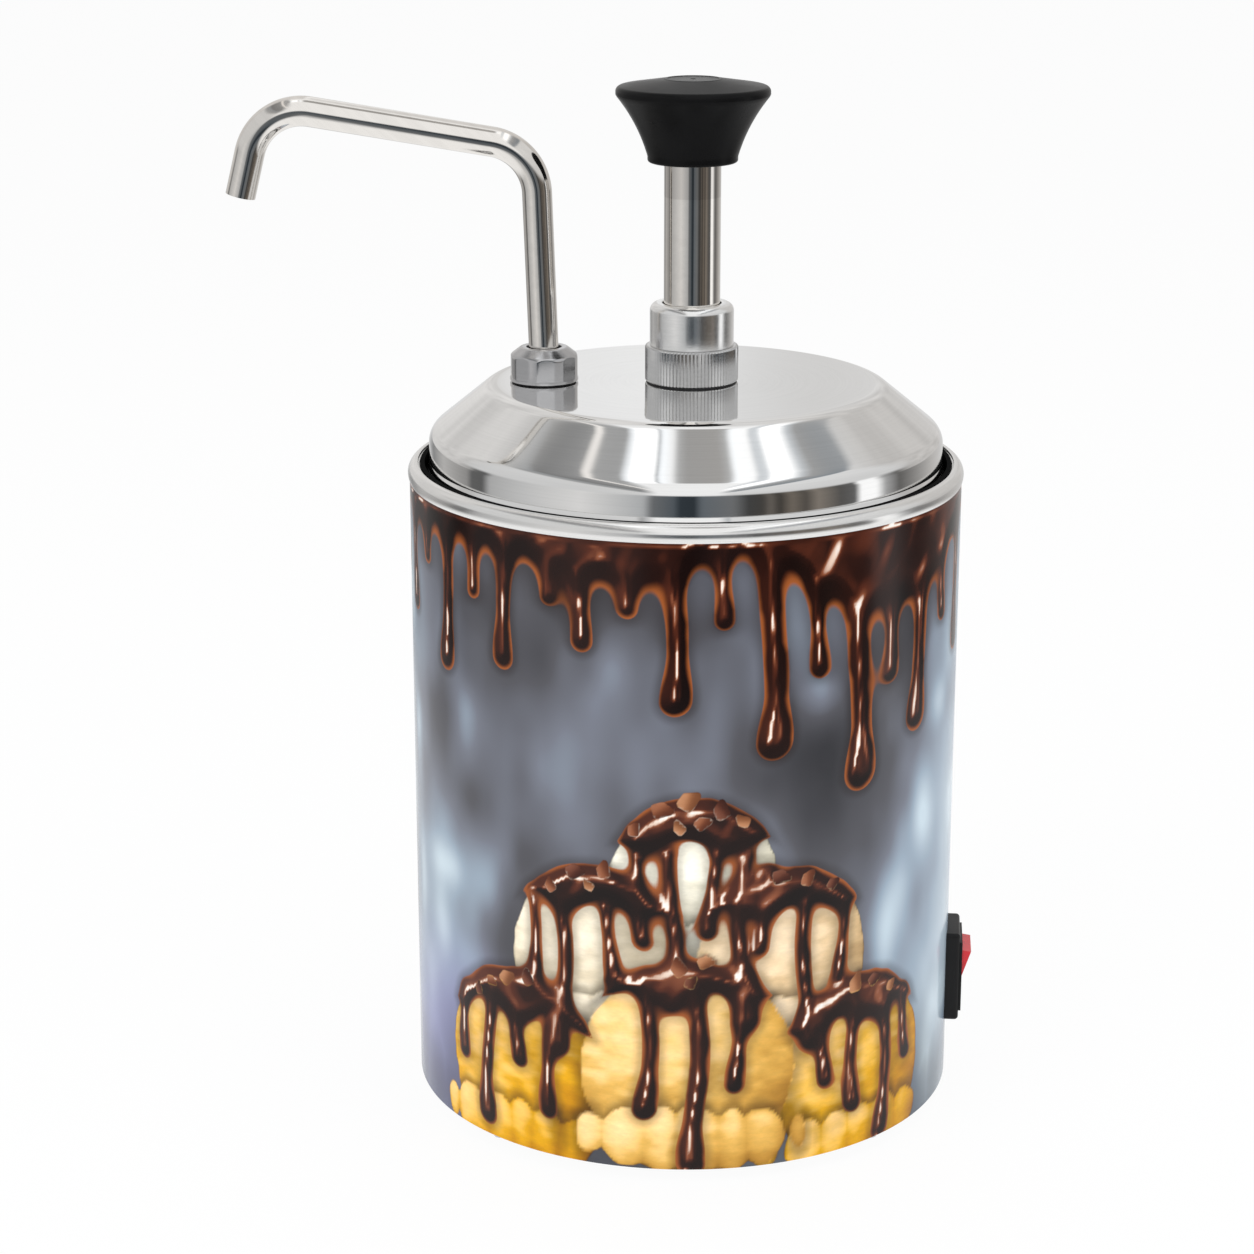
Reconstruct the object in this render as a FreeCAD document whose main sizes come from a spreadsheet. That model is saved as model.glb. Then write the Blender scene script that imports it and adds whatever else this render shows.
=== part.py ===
import FreeCAD, Part
import math
import os
import re
import Sketcher

# A countertop warmer for hot fudge: a wrapped steel cabinet with a heated water well, a food jar hanging
# in the well, and a lid that carries a hand pump with a swivelling spout. Millimetres, +Z up.
# The origin is on the cabinet's axis, in the plane that the feet stand on. The spout points along -X
# and the switch is on the +X side.

doc = FreeCAD.newDocument("topping_warmer")
sheet = doc.addObject("Spreadsheet::Sheet", "Sizes")
aliases = []
nodes = []
Vector = FreeCAD.Vector
ORIGIN = Vector()
UP = Vector(0, 0, 1)


def cell(name, content):
    """Put one named cell in the sheet: its name in column A, its content in column B."""
    aliases.append(name)
    row = len(aliases)
    sheet.set("A%d" % row, name)
    sheet.set("B%d" % row, content)
    sheet.setAlias("B%d" % row, name)


def levels(**formulas):
    """Places that follow from the driving sizes."""
    for name, formula in formulas.items():
        cell(name, "=" + formula)


# Driving sizes: lengths in millimetres, angles in degrees, and counts.
driving_sizes = {
    # Cabinet. The film's radius and height come from the photograph; the rest is usual for such cabinets.
    "body_radius": 114.0, "wrap_thickness": 0.3, "wrap_height": 260.6, "shell_wall": 0.8,
    "hem_width": 8.0, "foot_rise": 4.8, "foot_radius": 9.0, "foot_inset": 36.0, "foot_round": 1.2,
    "foot_count": 4, "foot_screw_radius": 1.9, "foot_screw_head_radius": 3.6,
    "foot_screw_head_height": 2.2, "foot_screw_grip": 4.6, "screw_start_angle": 45.0,
    "plate_thickness": 1.2, "plate_margin": 3.0, "plate_screw_inset": 6.0, "plate_screw_count": 4,
    "plate_screw_radius": 1.5, "plate_screw_head_radius": 2.9, "plate_screw_head_height": 1.6,
    "plate_screw_length": 5.0, "vent_inset": 28.0, "vent_length": 22.0, "vent_width": 4.0,
    "vent_count": 8, "fit_gap": 0.05, "seat_gap": 0.1, "soft_gap": 0.3,
    # Rim ring and the well that hangs in it
    "rim_height": 7.0, "rim_overhang": 0.7, "rim_metal": 0.8, "rim_band": 4.7, "rim_round": 3.4,
    "rim_shelf_drop": 0.9, "rim_leg_depth": 5.0, "well_metal": 0.7, "well_lip_inset": 6.2,
    "well_lip_reach": 1.9, "ledge_drop": 6.0, "insulation_room": 11.5, "heater_room": 70.1,
    "well_corner_round": 12.0, "stud_radius": 3.0, "stud_length": 20.0, "blanket_base_gap": 4.0,
    "blanket_top_gap": 15.5,
    # Food jar and lid
    "water_gap": 11.0, "jar_flange_gap": 1.4, "jar_metal": 0.8, "jar_floor_gap": 10.5,
    "jar_corner_round": 14.0, "lid_inset": 0.6, "lid_metal": 0.8, "lid_skirt_height": 15.1,
    "lid_rise": 20.4, "lid_shoulder_width": 25.0, "lid_top_round": 10.0, "lid_shoulder_round": 8.0,
    "bead_reach": 0.6, "bead_height": 1.5, "bead_offset": 1.5, "gasket_height": 3.4,
    "gasket_groove_depth": 1.4, "gasket_reach": 1.3,
    # Pump, from the knob down
    "pump_offset": 2.3, "plunger_radius": 11.55, "plunger_wall": 1.2, "plunger_show": 57.1,
    "knob_height": 33.3, "knob_base_radius": 18.3, "knob_base_height": 2.4, "knob_neck_round": 1.0,
    "knob_top_radius": 31.2, "knob_flare_radius": 68.0, "knob_bead_height": 3.9, "knob_bead_inset": 0.3,
    "knob_bead_round": 1.9, "knob_disc_radius": 11.8, "knob_dome_rise": 3.2,
    "knob_grip_depth": 12.0, "knob_stud_radius": 4.0, "knob_stud_reach": 11.0, "knob_plug_depth": 14.0,
    "collar_radius": 17.2, "collar_height": 17.5, "collar_round": 3.2, "collar_top_wall": 3.5,
    "collar_bore_gap": 0.55, "lock_nut_radius": 19.1, "lock_nut_height": 14.6, "knurl_depth": 0.45,
    "knurl_count": 78, "lock_nut_round": 0.8, "pump_gasket_thickness": 0.5, "pump_gasket_radius": 18.6,
    "under_gasket_thickness": 0.8, "cylinder_radius": 15.5, "cylinder_wall": 1.5,
    "cylinder_flange_radius": 19.5, "cylinder_flange_height": 2.4, "bush_height": 18.0,
    "wiper_height": 1.8, "wiper_width": 1.8, "stroke": 50.0, "piston_height": 14.0,
    "piston_running_gap": 0.09, "groove_depth": 1.7, "groove_height": 2.4, "groove_offset": 3.0,
    "groove_pitch": 5.6, "spigot_length": 10.0, "spring_nose_radius": 9.6, "spring_nose_length": 4.0,
    "spring_wire_radius": 0.9, "spring_radius": 11.8, "spring_turn_count": 9,
    "spring_pressed_height": 22.0,
    # Pump foot with its two ball valves
    "suction_gap": 4.0, "foot_body_radius": 20.0, "foot_socket_depth": 8.0, "cage_radius": 8.0,
    "inlet_ball_radius": 6.35, "inlet_seat_bore": 5.0, "inlet_seat_height": 6.5,
    "inlet_seat_radius": 10.5, "cage_height": 16.6, "stop_pin_radius": 1.0, "stop_pin_drop": 2.1,
    "passage_radius": 3.5, "passage_drop": 5.5, "bridge_width": 15.0, "outlet_body_radius": 12.0,
    "outlet_ball_radius": 5.56, "outlet_seat_rise": 3.5, "outlet_cage_radius": 6.8,
    "outlet_cage_height": 9.5, "riser_foot_radius": 8.5, "riser_foot_height": 10.0,
    # Spout and its nut
    "spout_inset": 22.6, "spout_radius": 6.1, "spout_wall": 1.0, "spout_lean_angle": 2.0,
    "spout_rise": 80.7, "spout_arm": 111.5, "spout_arm_angle": 9.3, "spout_drop": 38.1,
    "spout_drop_angle": 13.9, "spout_bend": 21.7, "spout_nut_radius": 14.0, "spout_nut_height": 13.9,
    "spout_nut_corner_reach": 14.4, "spout_nut_band_height": 1.3, "spout_nut_chamfer": 3.4,
    "spout_nut_top_radius": 9.6, "spout_nut_shoulder_round": 2.5, "spout_nut_top_round": 2.0,
    "spout_nut_flat_count": 8, "spout_nut_hole_radius": 7.2, "spout_nut_top_wall": 2.9, "fitting_radius": 9.5,
    "fitting_flange_radius": 13.0, "fitting_flange_height": 2.3, "fitting_tail": 8.4,
    "fitting_tail_radius": 9.0, "fitting_socket_depth": 7.0, "fitting_top_socket": 6.5,
    "ferrule_height": 2.2, "spout_gasket_radius": 13.2,
    # Heating parts under the well
    "spreader_margin": 24.5, "spreader_thickness": 4.0, "element_radius": 4.0, "element_inset": 26.0,
    "element_gap_angle": 32.0, "element_bend": 8.0, "element_pin": 10.0, "clamp_width": 14.0,
    "clamp_thickness": 2.0, "clamp_nut_across": 10.0, "clamp_nut_height": 5.0, "thermostat_radius": 8.0,
    "thermostat_height": 10.0, "blade_width": 6.3, "blade_thickness": 0.8, "blade_length": 8.0,
    "blade_spacing": 9.0, "thermostat_flange_radius": 11.0, "thermostat_flange_height": 1.0,
    "block_length": 36.0, "block_width": 20.0, "block_height": 18.0, "block_x": 30.0, "block_inset": 16.0,
    "block_bore": 2.2, "block_pitch": 11.0, "block_screw_radius": 1.6, "block_screw_head_radius": 3.0,
    "block_screw_head_height": 1.8,
    # Switch on the right side and the cord gland at the back
    "switch_turn_angle": 5.0, "switch_centre_height": 51.0, "switch_reach": 5.3, "block_border": 1.3,
    "block_end_border": 4.1, "switch_block_round": 1.6, "bezel_proud": 1.0, "bezel_lip": 0.4,
    "bezel_end_lip": 1.2, "housing_wall": 1.4, "housing_end_wall": 1.1, "housing_depth": 24.0,
    "pocket_depth": 11.0, "rocker_width": 19.2, "rocker_height": 24.0, "rocker_side_gap": 0.3,
    "rocker_end_gap": 1.3, "rocker_pivot_depth": 5.0, "rocker_tilt_angle": 9.2, "rocker_edge_depth": 3.0,
    "rocker_keel_depth": 9.0, "rocker_keel_height": 10.0, "trunnion_radius": 1.5, "trunnion_length": 1.1,
    "terminal_reach": 9.0, "terminal_pitch": 14.0, "gland_height": 24.0, "gland_bore": 4.0,
    "gland_thread_radius": 7.5, "gland_flange_radius": 10.0, "gland_flange_height": 3.6,
    "gland_nose_height": 9.0, "gland_nose_radius": 6.2, "gland_inner_reach": 10.0,
    "gland_nut_across": 20.0, "gland_nut_height": 4.0, "gland_round": 1.4, "lead_radius": 1.4,
    # How far a cutting tool runs past what it cuts
    "overrun": 5.0,
}
for size_name, size_number in driving_sizes.items():
    cell(size_name, str(size_number))

levels(shell_base="foot_rise + plate_thickness", shell_radius="body_radius - wrap_thickness")
levels(foot_circle_radius="body_radius - foot_inset")
levels(vent_circle_radius="foot_circle_radius - vent_inset")
levels(plate_screw_circle_radius="body_radius - plate_screw_inset")
levels(rim_bottom="shell_base + wrap_height", rim_top="rim_bottom + rim_height")
levels(rim_radius="body_radius + rim_overhang", rim_shelf="rim_top - rim_shelf_drop")
levels(well_lip_radius="body_radius - well_lip_inset", well_radius="body_radius - insulation_room")
levels(well_lip_outer="well_lip_radius + well_metal", ledge="rim_top - ledge_drop")
levels(well_base="shell_base + heater_room", jar_floor="well_base + jar_floor_gap + jar_metal")
levels(jar_radius="well_radius - water_gap", jar_flange_radius="well_lip_radius - jar_flange_gap")
levels(jar_seat="ledge + jar_metal", gasket_top="jar_seat + gasket_height")
levels(lid_radius="jar_flange_radius - lid_inset", lid_top_radius="lid_radius - lid_shoulder_width")
levels(skirt_base="gasket_top - gasket_groove_depth", skirt_top="skirt_base + lid_skirt_height")
levels(lid_top="skirt_top + lid_rise", lid_under="lid_top - lid_metal")
levels(lid_slope_angle="atan(lid_rise / (lid_radius - lid_top_radius))")
levels(nut_base="lid_top + pump_gasket_thickness", nut_top="nut_base + lock_nut_height")
levels(collar_top="nut_top + collar_height", collar_under="collar_top - collar_top_wall")
levels(knob_base="collar_top + plunger_show", cylinder_bore="cylinder_radius - cylinder_wall")
levels(flange_top="lid_under - under_gasket_thickness", foot_base="jar_floor + suction_gap")
levels(inlet_seat="foot_base + inlet_seat_height", cage_top="inlet_seat + cage_height")
levels(pump_foot_top="cage_top + foot_socket_depth")
levels(piston_base="cage_top + spring_pressed_height + stroke")
levels(piston_top="piston_base + piston_height", passage_level="cage_top - passage_drop")
levels(outlet_seat="passage_level + passage_radius + outlet_seat_rise")
levels(outlet_cage_top="outlet_seat + outlet_cage_height")
levels(riser_foot_top="outlet_cage_top + riser_foot_height")
levels(fitting_base="lid_under - fitting_flange_height - fitting_tail")
levels(riser_top="fitting_base + fitting_socket_depth", spout_nut_top="nut_base + spout_nut_height")
levels(spout_nut_under="spout_nut_top - spout_nut_top_wall", ferrule_top="spout_nut_under - seat_gap")
levels(ferrule_base="ferrule_top - ferrule_height", fitting_top="ferrule_base - seat_gap")
levels(spout_base="fitting_top - fitting_top_socket + soft_gap")
levels(spout_offset="lid_top_radius - spout_inset")
levels(spreader_base="well_base - spreader_thickness", spreader_radius="well_radius - spreader_margin")
levels(element_ring_radius="spreader_radius - element_inset")
levels(clamp_length="2 * (element_ring_radius + element_radius)")
levels(thermostat_offset="(element_ring_radius - element_radius + stud_radius) / 2")
levels(block_y="foot_circle_radius - block_inset")
levels(element_level="spreader_base - element_radius", clamp_top="element_level - element_radius")
levels(clamp_base="clamp_top - clamp_thickness", switch_face="body_radius + switch_reach")
levels(housing_width="rocker_width + 2 * (rocker_side_gap + housing_wall)")
levels(pocket_height="rocker_height + 2 * rocker_end_gap")
levels(housing_height="pocket_height + 2 * housing_end_wall")
levels(bezel_width="housing_width + 2 * bezel_lip", bezel_height="housing_height + 2 * bezel_end_lip")
levels(switch_block_width="bezel_width + 2 * block_border")
levels(switch_block_height="bezel_height + 2 * block_end_border")
levels(bezel_face="switch_face + bezel_proud", rocker_axis_x="bezel_face - rocker_pivot_depth")
doc.recompute()

words = re.compile(r"[a-z][a-z_]*")


def follow(text):
    """The same formula as an expression on another object, where each size is named by its sheet."""
    return words.sub(lambda found: "Sizes." + found[0] if found[0] in aliases else found[0], text)


def value(text):
    """What a formula in sheet sizes comes to now."""
    result = sheet.evalExpression(text)
    return float(getattr(result, "Value", result))


def keep(thing, name):
    """Give a finished piece its name, which also names its file."""
    thing.Label = name
    nodes.append(thing)
    return thing


def place(thing, x="0", y="0", z="0"):
    """Tie a piece's placement to the sheet."""
    for axis, text in zip("xyz", (x, y, z)):
        if text != "0":
            thing.setExpression("Placement.Base." + axis, follow(text))
    return thing


def turn(thing, axis, degrees):
    """Turn a piece about an axis through its own origin."""
    thing.Placement = FreeCAD.Placement(thing.Placement.Base, FreeCAD.Rotation(axis, degrees))
    return thing


def pin_point(sketch, index, end, x, y):
    """Hold one sketch point at distances x and y from the sketch's origin."""
    for kind, axis, text in (("DistanceX", -2, x), ("DistanceY", -1, y)):
        if text == "0":
            sketch.addConstraint(Sketcher.Constraint("PointOnObject", index, end, axis))
            continue
        number = sketch.addConstraint(Sketcher.Constraint(kind, -1, 1, index, end, value(text)))
        sketch.setExpression("Constraints[%d]" % number, follow(text))


def draw(body, plane, label, level="0"):
    """An empty sketch on one of the body's own origin planes, at a level along the plane's normal."""
    sketch = body.newObject("Sketcher::SketchObject", label)
    support = [feature for feature in body.Origin.OriginFeatures if feature.Role == plane]
    sketch.AttachmentSupport = (support[0], [""])
    sketch.MapMode = "FlatFace"
    if level != "0":
        sketch.setExpression("AttachmentOffset.Base.z", follow(level))
    return sketch


def outline(sketch, corners):
    """A closed outline through the corners, each a pair of formulas."""
    spots = [Vector(value(x), value(y), 0) for x, y in corners]
    start = sketch.GeometryCount
    for index, spot in enumerate(spots):
        sketch.addGeometry(Part.LineSegment(spot, spots[(index + 1) % len(spots)]), False)
    for index in range(len(spots)):
        following = start + (index + 1) % len(spots)
        sketch.addConstraint(Sketcher.Constraint("Coincident", start + index, 2, following, 1))
    for index, (x, y) in enumerate(corners):
        pin_point(sketch, start + index, 1, x, y)


def ring(sketch, x, y, radius):
    """A circle about a point, all three given as formulas."""
    circle = Part.Circle(Vector(value(x), value(y), 0), UP, value(radius))
    index = sketch.addGeometry(circle, False)
    pin_point(sketch, index, 3, x, y)
    number = sketch.addConstraint(Sketcher.Constraint("Radius", index, value(radius)))
    sketch.setExpression("Constraints[%d]" % number, follow(radius))


def new_body(label):
    return doc.addObject("PartDesign::Body", label)


def turned(label, corners, rounds=()):
    """A body turned about its own Z axis: corners are (radius, level) pairs.

    Each round is a fillet radius and the (radius, level) of the circular edges that it takes.
    """
    body = new_body(label)
    sketch = draw(body, "XZ_Plane", label + "_section")
    outline(sketch, corners)
    feature = body.newObject("PartDesign::Revolution", label + "_turned")
    feature.Profile = sketch
    feature.ReferenceAxis = (sketch, ["V_Axis"])
    feature.Angle = 360
    doc.recompute()
    for radius, spots in rounds:
        round_off(body, radius, spots)
    return body


def round_off(body, radius, spots):
    """Fillet the circular edges at the given (radius, level) spots."""
    base = body.Tip
    wanted = [(value(reach), value(level)) for reach, level in spots]
    names = []
    for number, edge in enumerate(base.Shape.Edges, 1):
        if not isinstance(edge.Curve, Part.Circle):
            continue
        here = (edge.Curve.Radius, edge.Curve.Center.z)
        if any(math.dist(here, spot) < value("fit_gap") for spot in wanted):
            names.append("Edge%d" % number)
    fillet = body.newObject("PartDesign::Fillet", body.Name + "_round")
    fillet.Base = (base, names)
    fillet.setExpression("Radius", follow(radius))
    doc.recompute()


def padded(label, plane, drawer, length, level="0", both_ways=False):
    """A body padded from what the drawer function puts in its sketch."""
    body = new_body(label)
    sketch = draw(body, plane, label + "_outline", level)
    drawer(sketch)
    pad = body.newObject("PartDesign::Pad", label + "_pad")
    pad.Profile = sketch
    pad.Midplane = both_ways
    pad.setExpression("Length", follow(length))
    doc.recompute()
    return body


def cut(body, plane, drawer, length, level="0", forward=True):
    """Cut a pocket, forward along the plane's normal or backward."""
    sketch = draw(body, plane, body.Name + "_cut", level)
    drawer(sketch)
    before = body.Shape.Volume
    pocket = body.newObject("PartDesign::Pocket", body.Name + "_pocket")
    pocket.Profile = sketch
    pocket.Reversed = forward
    pocket.setExpression("Length", follow(length))
    doc.recompute()
    if not body.Shape.Volume < before:
        raise ValueError(body.Name + ": a pocket cuts nothing")


def pattern(body, count):
    """Repeat the body's last feature evenly about its Z axis."""
    feature = body.Tip
    polar = body.newObject("PartDesign::PolarPattern", body.Name + "_pattern")
    polar.Originals = [feature]
    polar.Axis = ([part for part in body.Origin.OriginFeatures if part.Role == "Z_Axis"][0], [""])
    polar.Angle = 360
    polar.setExpression("Occurrences", follow(count))
    body.Tip = polar
    doc.recompute()


def boolean(kind, label, base, tools):
    """A Part cut, fuse or common of whole pieces."""
    if kind == "Part::Cut":
        result = doc.addObject(kind, label)
        result.Base = base
        if len(tools) == 1:
            result.Tool = tools[0]
        else:
            fused = doc.addObject("Part::MultiFuse", label + "_tools")
            fused.Shapes = tools
            result.Tool = fused
    else:
        result = doc.addObject(kind, label)
        result.Shapes = [base] + tools
    doc.recompute()
    return result


def solid(kind, label, **formulas):
    """A Part primitive whose sizes follow the sheet."""
    thing = doc.addObject(kind, label)
    for name, text in formulas.items():
        thing.setExpression(name, follow(text))
    return thing


def cuboid(label, length, width, height, x, y, z):
    """A box by its sides and the place of its lowest corner."""
    return place(solid("Part::Box", label, Length=length, Width=width, Height=height), x, y, z)


def shaped(label, shape):
    """A piece whose shape this file works out itself from the sheet's sizes."""
    thing = doc.addObject("Part::Feature", label)
    thing.Shape = shape
    return thing


def copies_round(shape, count, radius):
    """Copies of a shape on a circle about the Z axis, as one group of separate solids."""
    group = []
    for number in range(int(count)):
        angle = math.radians(value("screw_start_angle") + 360 * number / count)
        one = shape.copy()
        one.translate(Vector(radius * math.cos(angle), radius * math.sin(angle), 0))
        group.append(one)
    return Part.makeCompound(group)


def revolved(corners):
    """A plain solid of revolution from (radius, level) numbers."""
    wire = Part.makePolygon([Vector(reach, 0, level) for reach, level in corners + corners[:1]])
    return Part.Face(wire).revolve(ORIGIN, UP, 360)


# The outer shell is a rolled steel tube. Its lower edge turns inwards as a hem that the base plate screws
# to. It has a window for the switch and a round hole for the cord gland.
shell_tube = turned(
    "shell_tube",
    [
        ("shell_radius - hem_width", "shell_base"),
        ("shell_radius", "shell_base"),
        ("shell_radius", "rim_top - rim_round"),
        ("shell_radius - shell_wall", "rim_top - rim_round"),
        ("shell_radius - shell_wall", "shell_base + shell_wall"),
        ("shell_radius - hem_width", "shell_base + shell_wall"),
    ],
)


def side_window(label):
    """A box through the cabinet's side for the switch housing, turned to the switch's place."""
    window = solid("Part::Box", label, Length="body_radius", Width="housing_width + 2 * fit_gap")
    window.setExpression("Height", follow("housing_height + 2 * fit_gap"))
    turn(window, UP, -value("switch_turn_angle"))
    half = "(housing_width / 2 + fit_gap)"
    across = "sin(switch_turn_angle * 1 deg)"
    along = "cos(switch_turn_angle * 1 deg)"
    start = "body_radius / 2"
    place(
        window,
        "%s * %s - %s * %s" % (start, along, half, across),
        "-%s * %s - %s * %s" % (start, across, half, along),
        "switch_centre_height - housing_height / 2 - fit_gap",
    )
    return window


def gland_hole(label):
    """A round hole through the cabinet's back for the cord gland."""
    hole = solid("Part::Cylinder", label, Radius="gland_thread_radius + fit_gap", Height="body_radius")
    turn(hole, Vector(1, 0, 0), -90)
    return place(hole, y="body_radius / 2", z="gland_height")


plate_screw_hole = "plate_screw_radius + seat_gap"
shell_holes = [side_window("shell_window"), gland_hole("shell_hole")]


def screw_bores(label, radius, count, circle, bottom, height):
    """Round bores on a circle, as tools for a cut."""
    bore = Part.makeCylinder(value(radius), value(height), Vector(0, 0, value(bottom)))
    return shaped(label, copies_round(bore, value(count), value(circle)))


shell_holes.append(
    screw_bores(
        "shell_screw_bores", plate_screw_hole, "plate_screw_count", "plate_screw_circle_radius",
        "shell_base - overrun", "shell_wall + 2 * overrun",
    )
)
keep(boolean("Part::Cut", "shell", shell_tube, shell_holes), "outer_shell")

# The printed film is wrapped round the shell and stops just under the rim ring.
film_tube = turned(
    "film_tube",
    [
        ("shell_radius", "shell_base"),
        ("body_radius", "shell_base"),
        ("body_radius", "rim_bottom"),
        ("shell_radius", "rim_bottom"),
    ],
)
film_holes = [side_window("film_window"), gland_hole("film_hole")]
keep(boolean("Part::Cut", "film", film_tube, film_holes), "printed_wrap")

# The rim ring is a folded steel trim that caps the shell's upper edge. The well's lip rests on its
# inner shelf.
rim = turned(
    "rim",
    [
        ("rim_radius", "rim_bottom"),
        ("rim_radius", "rim_top"),
        ("rim_radius - rim_band", "rim_top"),
        ("rim_radius - rim_band", "rim_shelf"),
        ("well_lip_outer + fit_gap", "rim_shelf"),
        ("well_lip_outer + fit_gap", "rim_shelf - rim_leg_depth"),
        ("well_lip_outer + fit_gap + rim_metal", "rim_shelf - rim_leg_depth"),
        ("well_lip_outer + fit_gap + rim_metal", "rim_shelf - rim_metal"),
        ("rim_radius - rim_band + rim_metal", "rim_shelf - rim_metal"),
        ("rim_radius - rim_band + rim_metal", "rim_top - rim_metal"),
        ("rim_radius - rim_metal", "rim_top - rim_metal"),
        ("rim_radius - rim_metal", "rim_bottom"),
    ],
    [
        ("rim_round", [("rim_radius", "rim_top")]),
        ("rim_round - rim_metal", [("rim_radius - rim_metal", "rim_top - rim_metal")]),
    ],
)
keep(rim, "rim_ring")

# The well is a drawn steel vessel for the heated water. Its lip hangs on the rim ring, its ledge carries
# the jar, and a stud is welded under its bottom for the heater.
well = turned(
    "well",
    [
        ("0", "well_base - stud_length"),
        ("stud_radius", "well_base - stud_length"),
        ("stud_radius", "well_base"),
        ("well_radius", "well_base"),
        ("well_radius", "ledge - well_metal"),
        ("well_lip_outer", "ledge - well_metal"),
        ("well_lip_outer", "rim_shelf"),
        ("well_lip_radius + well_lip_reach", "rim_shelf"),
        ("well_lip_radius + well_lip_reach", "rim_shelf + well_metal"),
        ("well_lip_radius", "rim_shelf + well_metal"),
        ("well_lip_radius", "ledge"),
        ("well_radius - well_metal", "ledge"),
        ("well_radius - well_metal", "well_base + well_metal"),
        ("0", "well_base + well_metal"),
    ],
    [
        ("well_corner_round", [("well_radius", "well_base")]),
        ("well_corner_round - well_metal", [("well_radius - well_metal", "well_base + well_metal")]),
    ],
)
keep(well, "water_well")

# The insulation is a mineral wool sleeve between the well and the shell.
blanket = turned(
    "blanket",
    [
        ("well_radius + soft_gap", "well_base + blanket_base_gap"),
        ("shell_radius - shell_wall - soft_gap", "well_base + blanket_base_gap"),
        ("shell_radius - shell_wall - soft_gap", "ledge - blanket_top_gap"),
        ("well_radius + soft_gap", "ledge - blanket_top_gap"),
    ],
)
keep(blanket, "insulation_blanket")

# The base plate closes the cabinet from below. It has eight vent slots and holes for its screws.
plate = turned(
    "plate",
    [
        ("0", "foot_rise"),
        ("shell_radius - plate_margin", "foot_rise"),
        ("shell_radius - plate_margin", "shell_base"),
        ("0", "shell_base"),
    ],
)
cut(
    plate, "XY_Plane",
    lambda sketch: outline(
        sketch,
        [
            ("vent_circle_radius - vent_length / 2", "-vent_width / 2"),
            ("vent_circle_radius + vent_length / 2", "-vent_width / 2"),
            ("vent_circle_radius + vent_length / 2", "vent_width / 2"),
            ("vent_circle_radius - vent_length / 2", "vent_width / 2"),
        ],
    ),
    "shell_base",
)
pattern(plate, "vent_count")
plate_bores = [
    screw_bores(
        "plate_screw_bores", plate_screw_hole, "plate_screw_count", "plate_screw_circle_radius",
        "foot_rise - overrun", "plate_thickness + 2 * overrun",
    ),
    screw_bores(
        "plate_foot_bores", "foot_screw_radius + seat_gap", "foot_count", "foot_circle_radius",
        "foot_rise - overrun", "plate_thickness + 2 * overrun",
    ),
]
keep(boolean("Part::Cut", "base", plate, plate_bores), "base_plate")

# Pan-head screws hold the base plate to the shell's hem.
screw_head_base = value("foot_rise - plate_screw_head_height")
plate_screw = revolved(
    [
        (0, screw_head_base),
        (value("plate_screw_head_radius"), screw_head_base),
        (value("plate_screw_head_radius"), value("foot_rise")),
        (value("plate_screw_radius"), value("foot_rise")),
        (value("plate_screw_radius"), value("foot_rise + plate_screw_length")),
        (0, value("foot_rise + plate_screw_length")),
    ]
)
plate_screws = copies_round(plate_screw, value("plate_screw_count"), value("plate_screw_circle_radius"))
keep(shaped("plate_screws", plate_screws), "base_screws")

# Four rubber feet, each with a stepped bore for its screw.
foot = revolved(
    [
        (value("foot_screw_head_radius + seat_gap"), 0),
        (value("foot_radius"), 0),
        (value("foot_radius"), value("foot_rise")),
        (value("foot_screw_radius + seat_gap"), value("foot_rise")),
        (value("foot_screw_radius + seat_gap"), value("foot_rise - foot_screw_grip / 2")),
        (value("foot_screw_head_radius + seat_gap"), value("foot_rise - foot_screw_grip / 2")),
    ]
)
lower_rim = []
for edge in foot.Edges:
    on_floor = abs(edge.BoundBox.ZMax) < value("fit_gap")
    round_edge = isinstance(edge.Curve, Part.Circle)
    if on_floor and round_edge and edge.Curve.Radius > value("foot_radius - fit_gap"):
        lower_rim.append(edge)
foot = foot.makeFillet(value("foot_round"), lower_rim)
feet = copies_round(foot, value("foot_count"), value("foot_circle_radius"))
keep(shaped("feet", feet), "rubber_feet")
foot_head_top = value("foot_rise - foot_screw_grip / 2")
foot_screw = revolved(
    [
        (0, foot_head_top - value("foot_screw_head_height")),
        (value("foot_screw_head_radius"), foot_head_top - value("foot_screw_head_height")),
        (value("foot_screw_head_radius"), foot_head_top),
        (value("foot_screw_radius"), foot_head_top),
        (value("foot_screw_radius"), foot_head_top + value("foot_screw_grip + plate_thickness")),
        (0, foot_head_top + value("foot_screw_grip + plate_thickness")),
    ]
)
foot_screws = copies_round(foot_screw, value("foot_count"), value("foot_circle_radius"))
keep(shaped("foot_screw_set", foot_screws), "foot_screws")

# The aluminium heat spreader lies against the well's bottom.
spreader = turned(
    "spreader",
    [
        ("stud_radius + seat_gap", "spreader_base"),
        ("spreader_radius", "spreader_base"),
        ("spreader_radius", "well_base"),
        ("stud_radius + seat_gap", "well_base"),
    ],
)
keep(spreader, "heat_spreader")

# The tubular element is one open ring with both ends bent down at the back.


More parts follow.
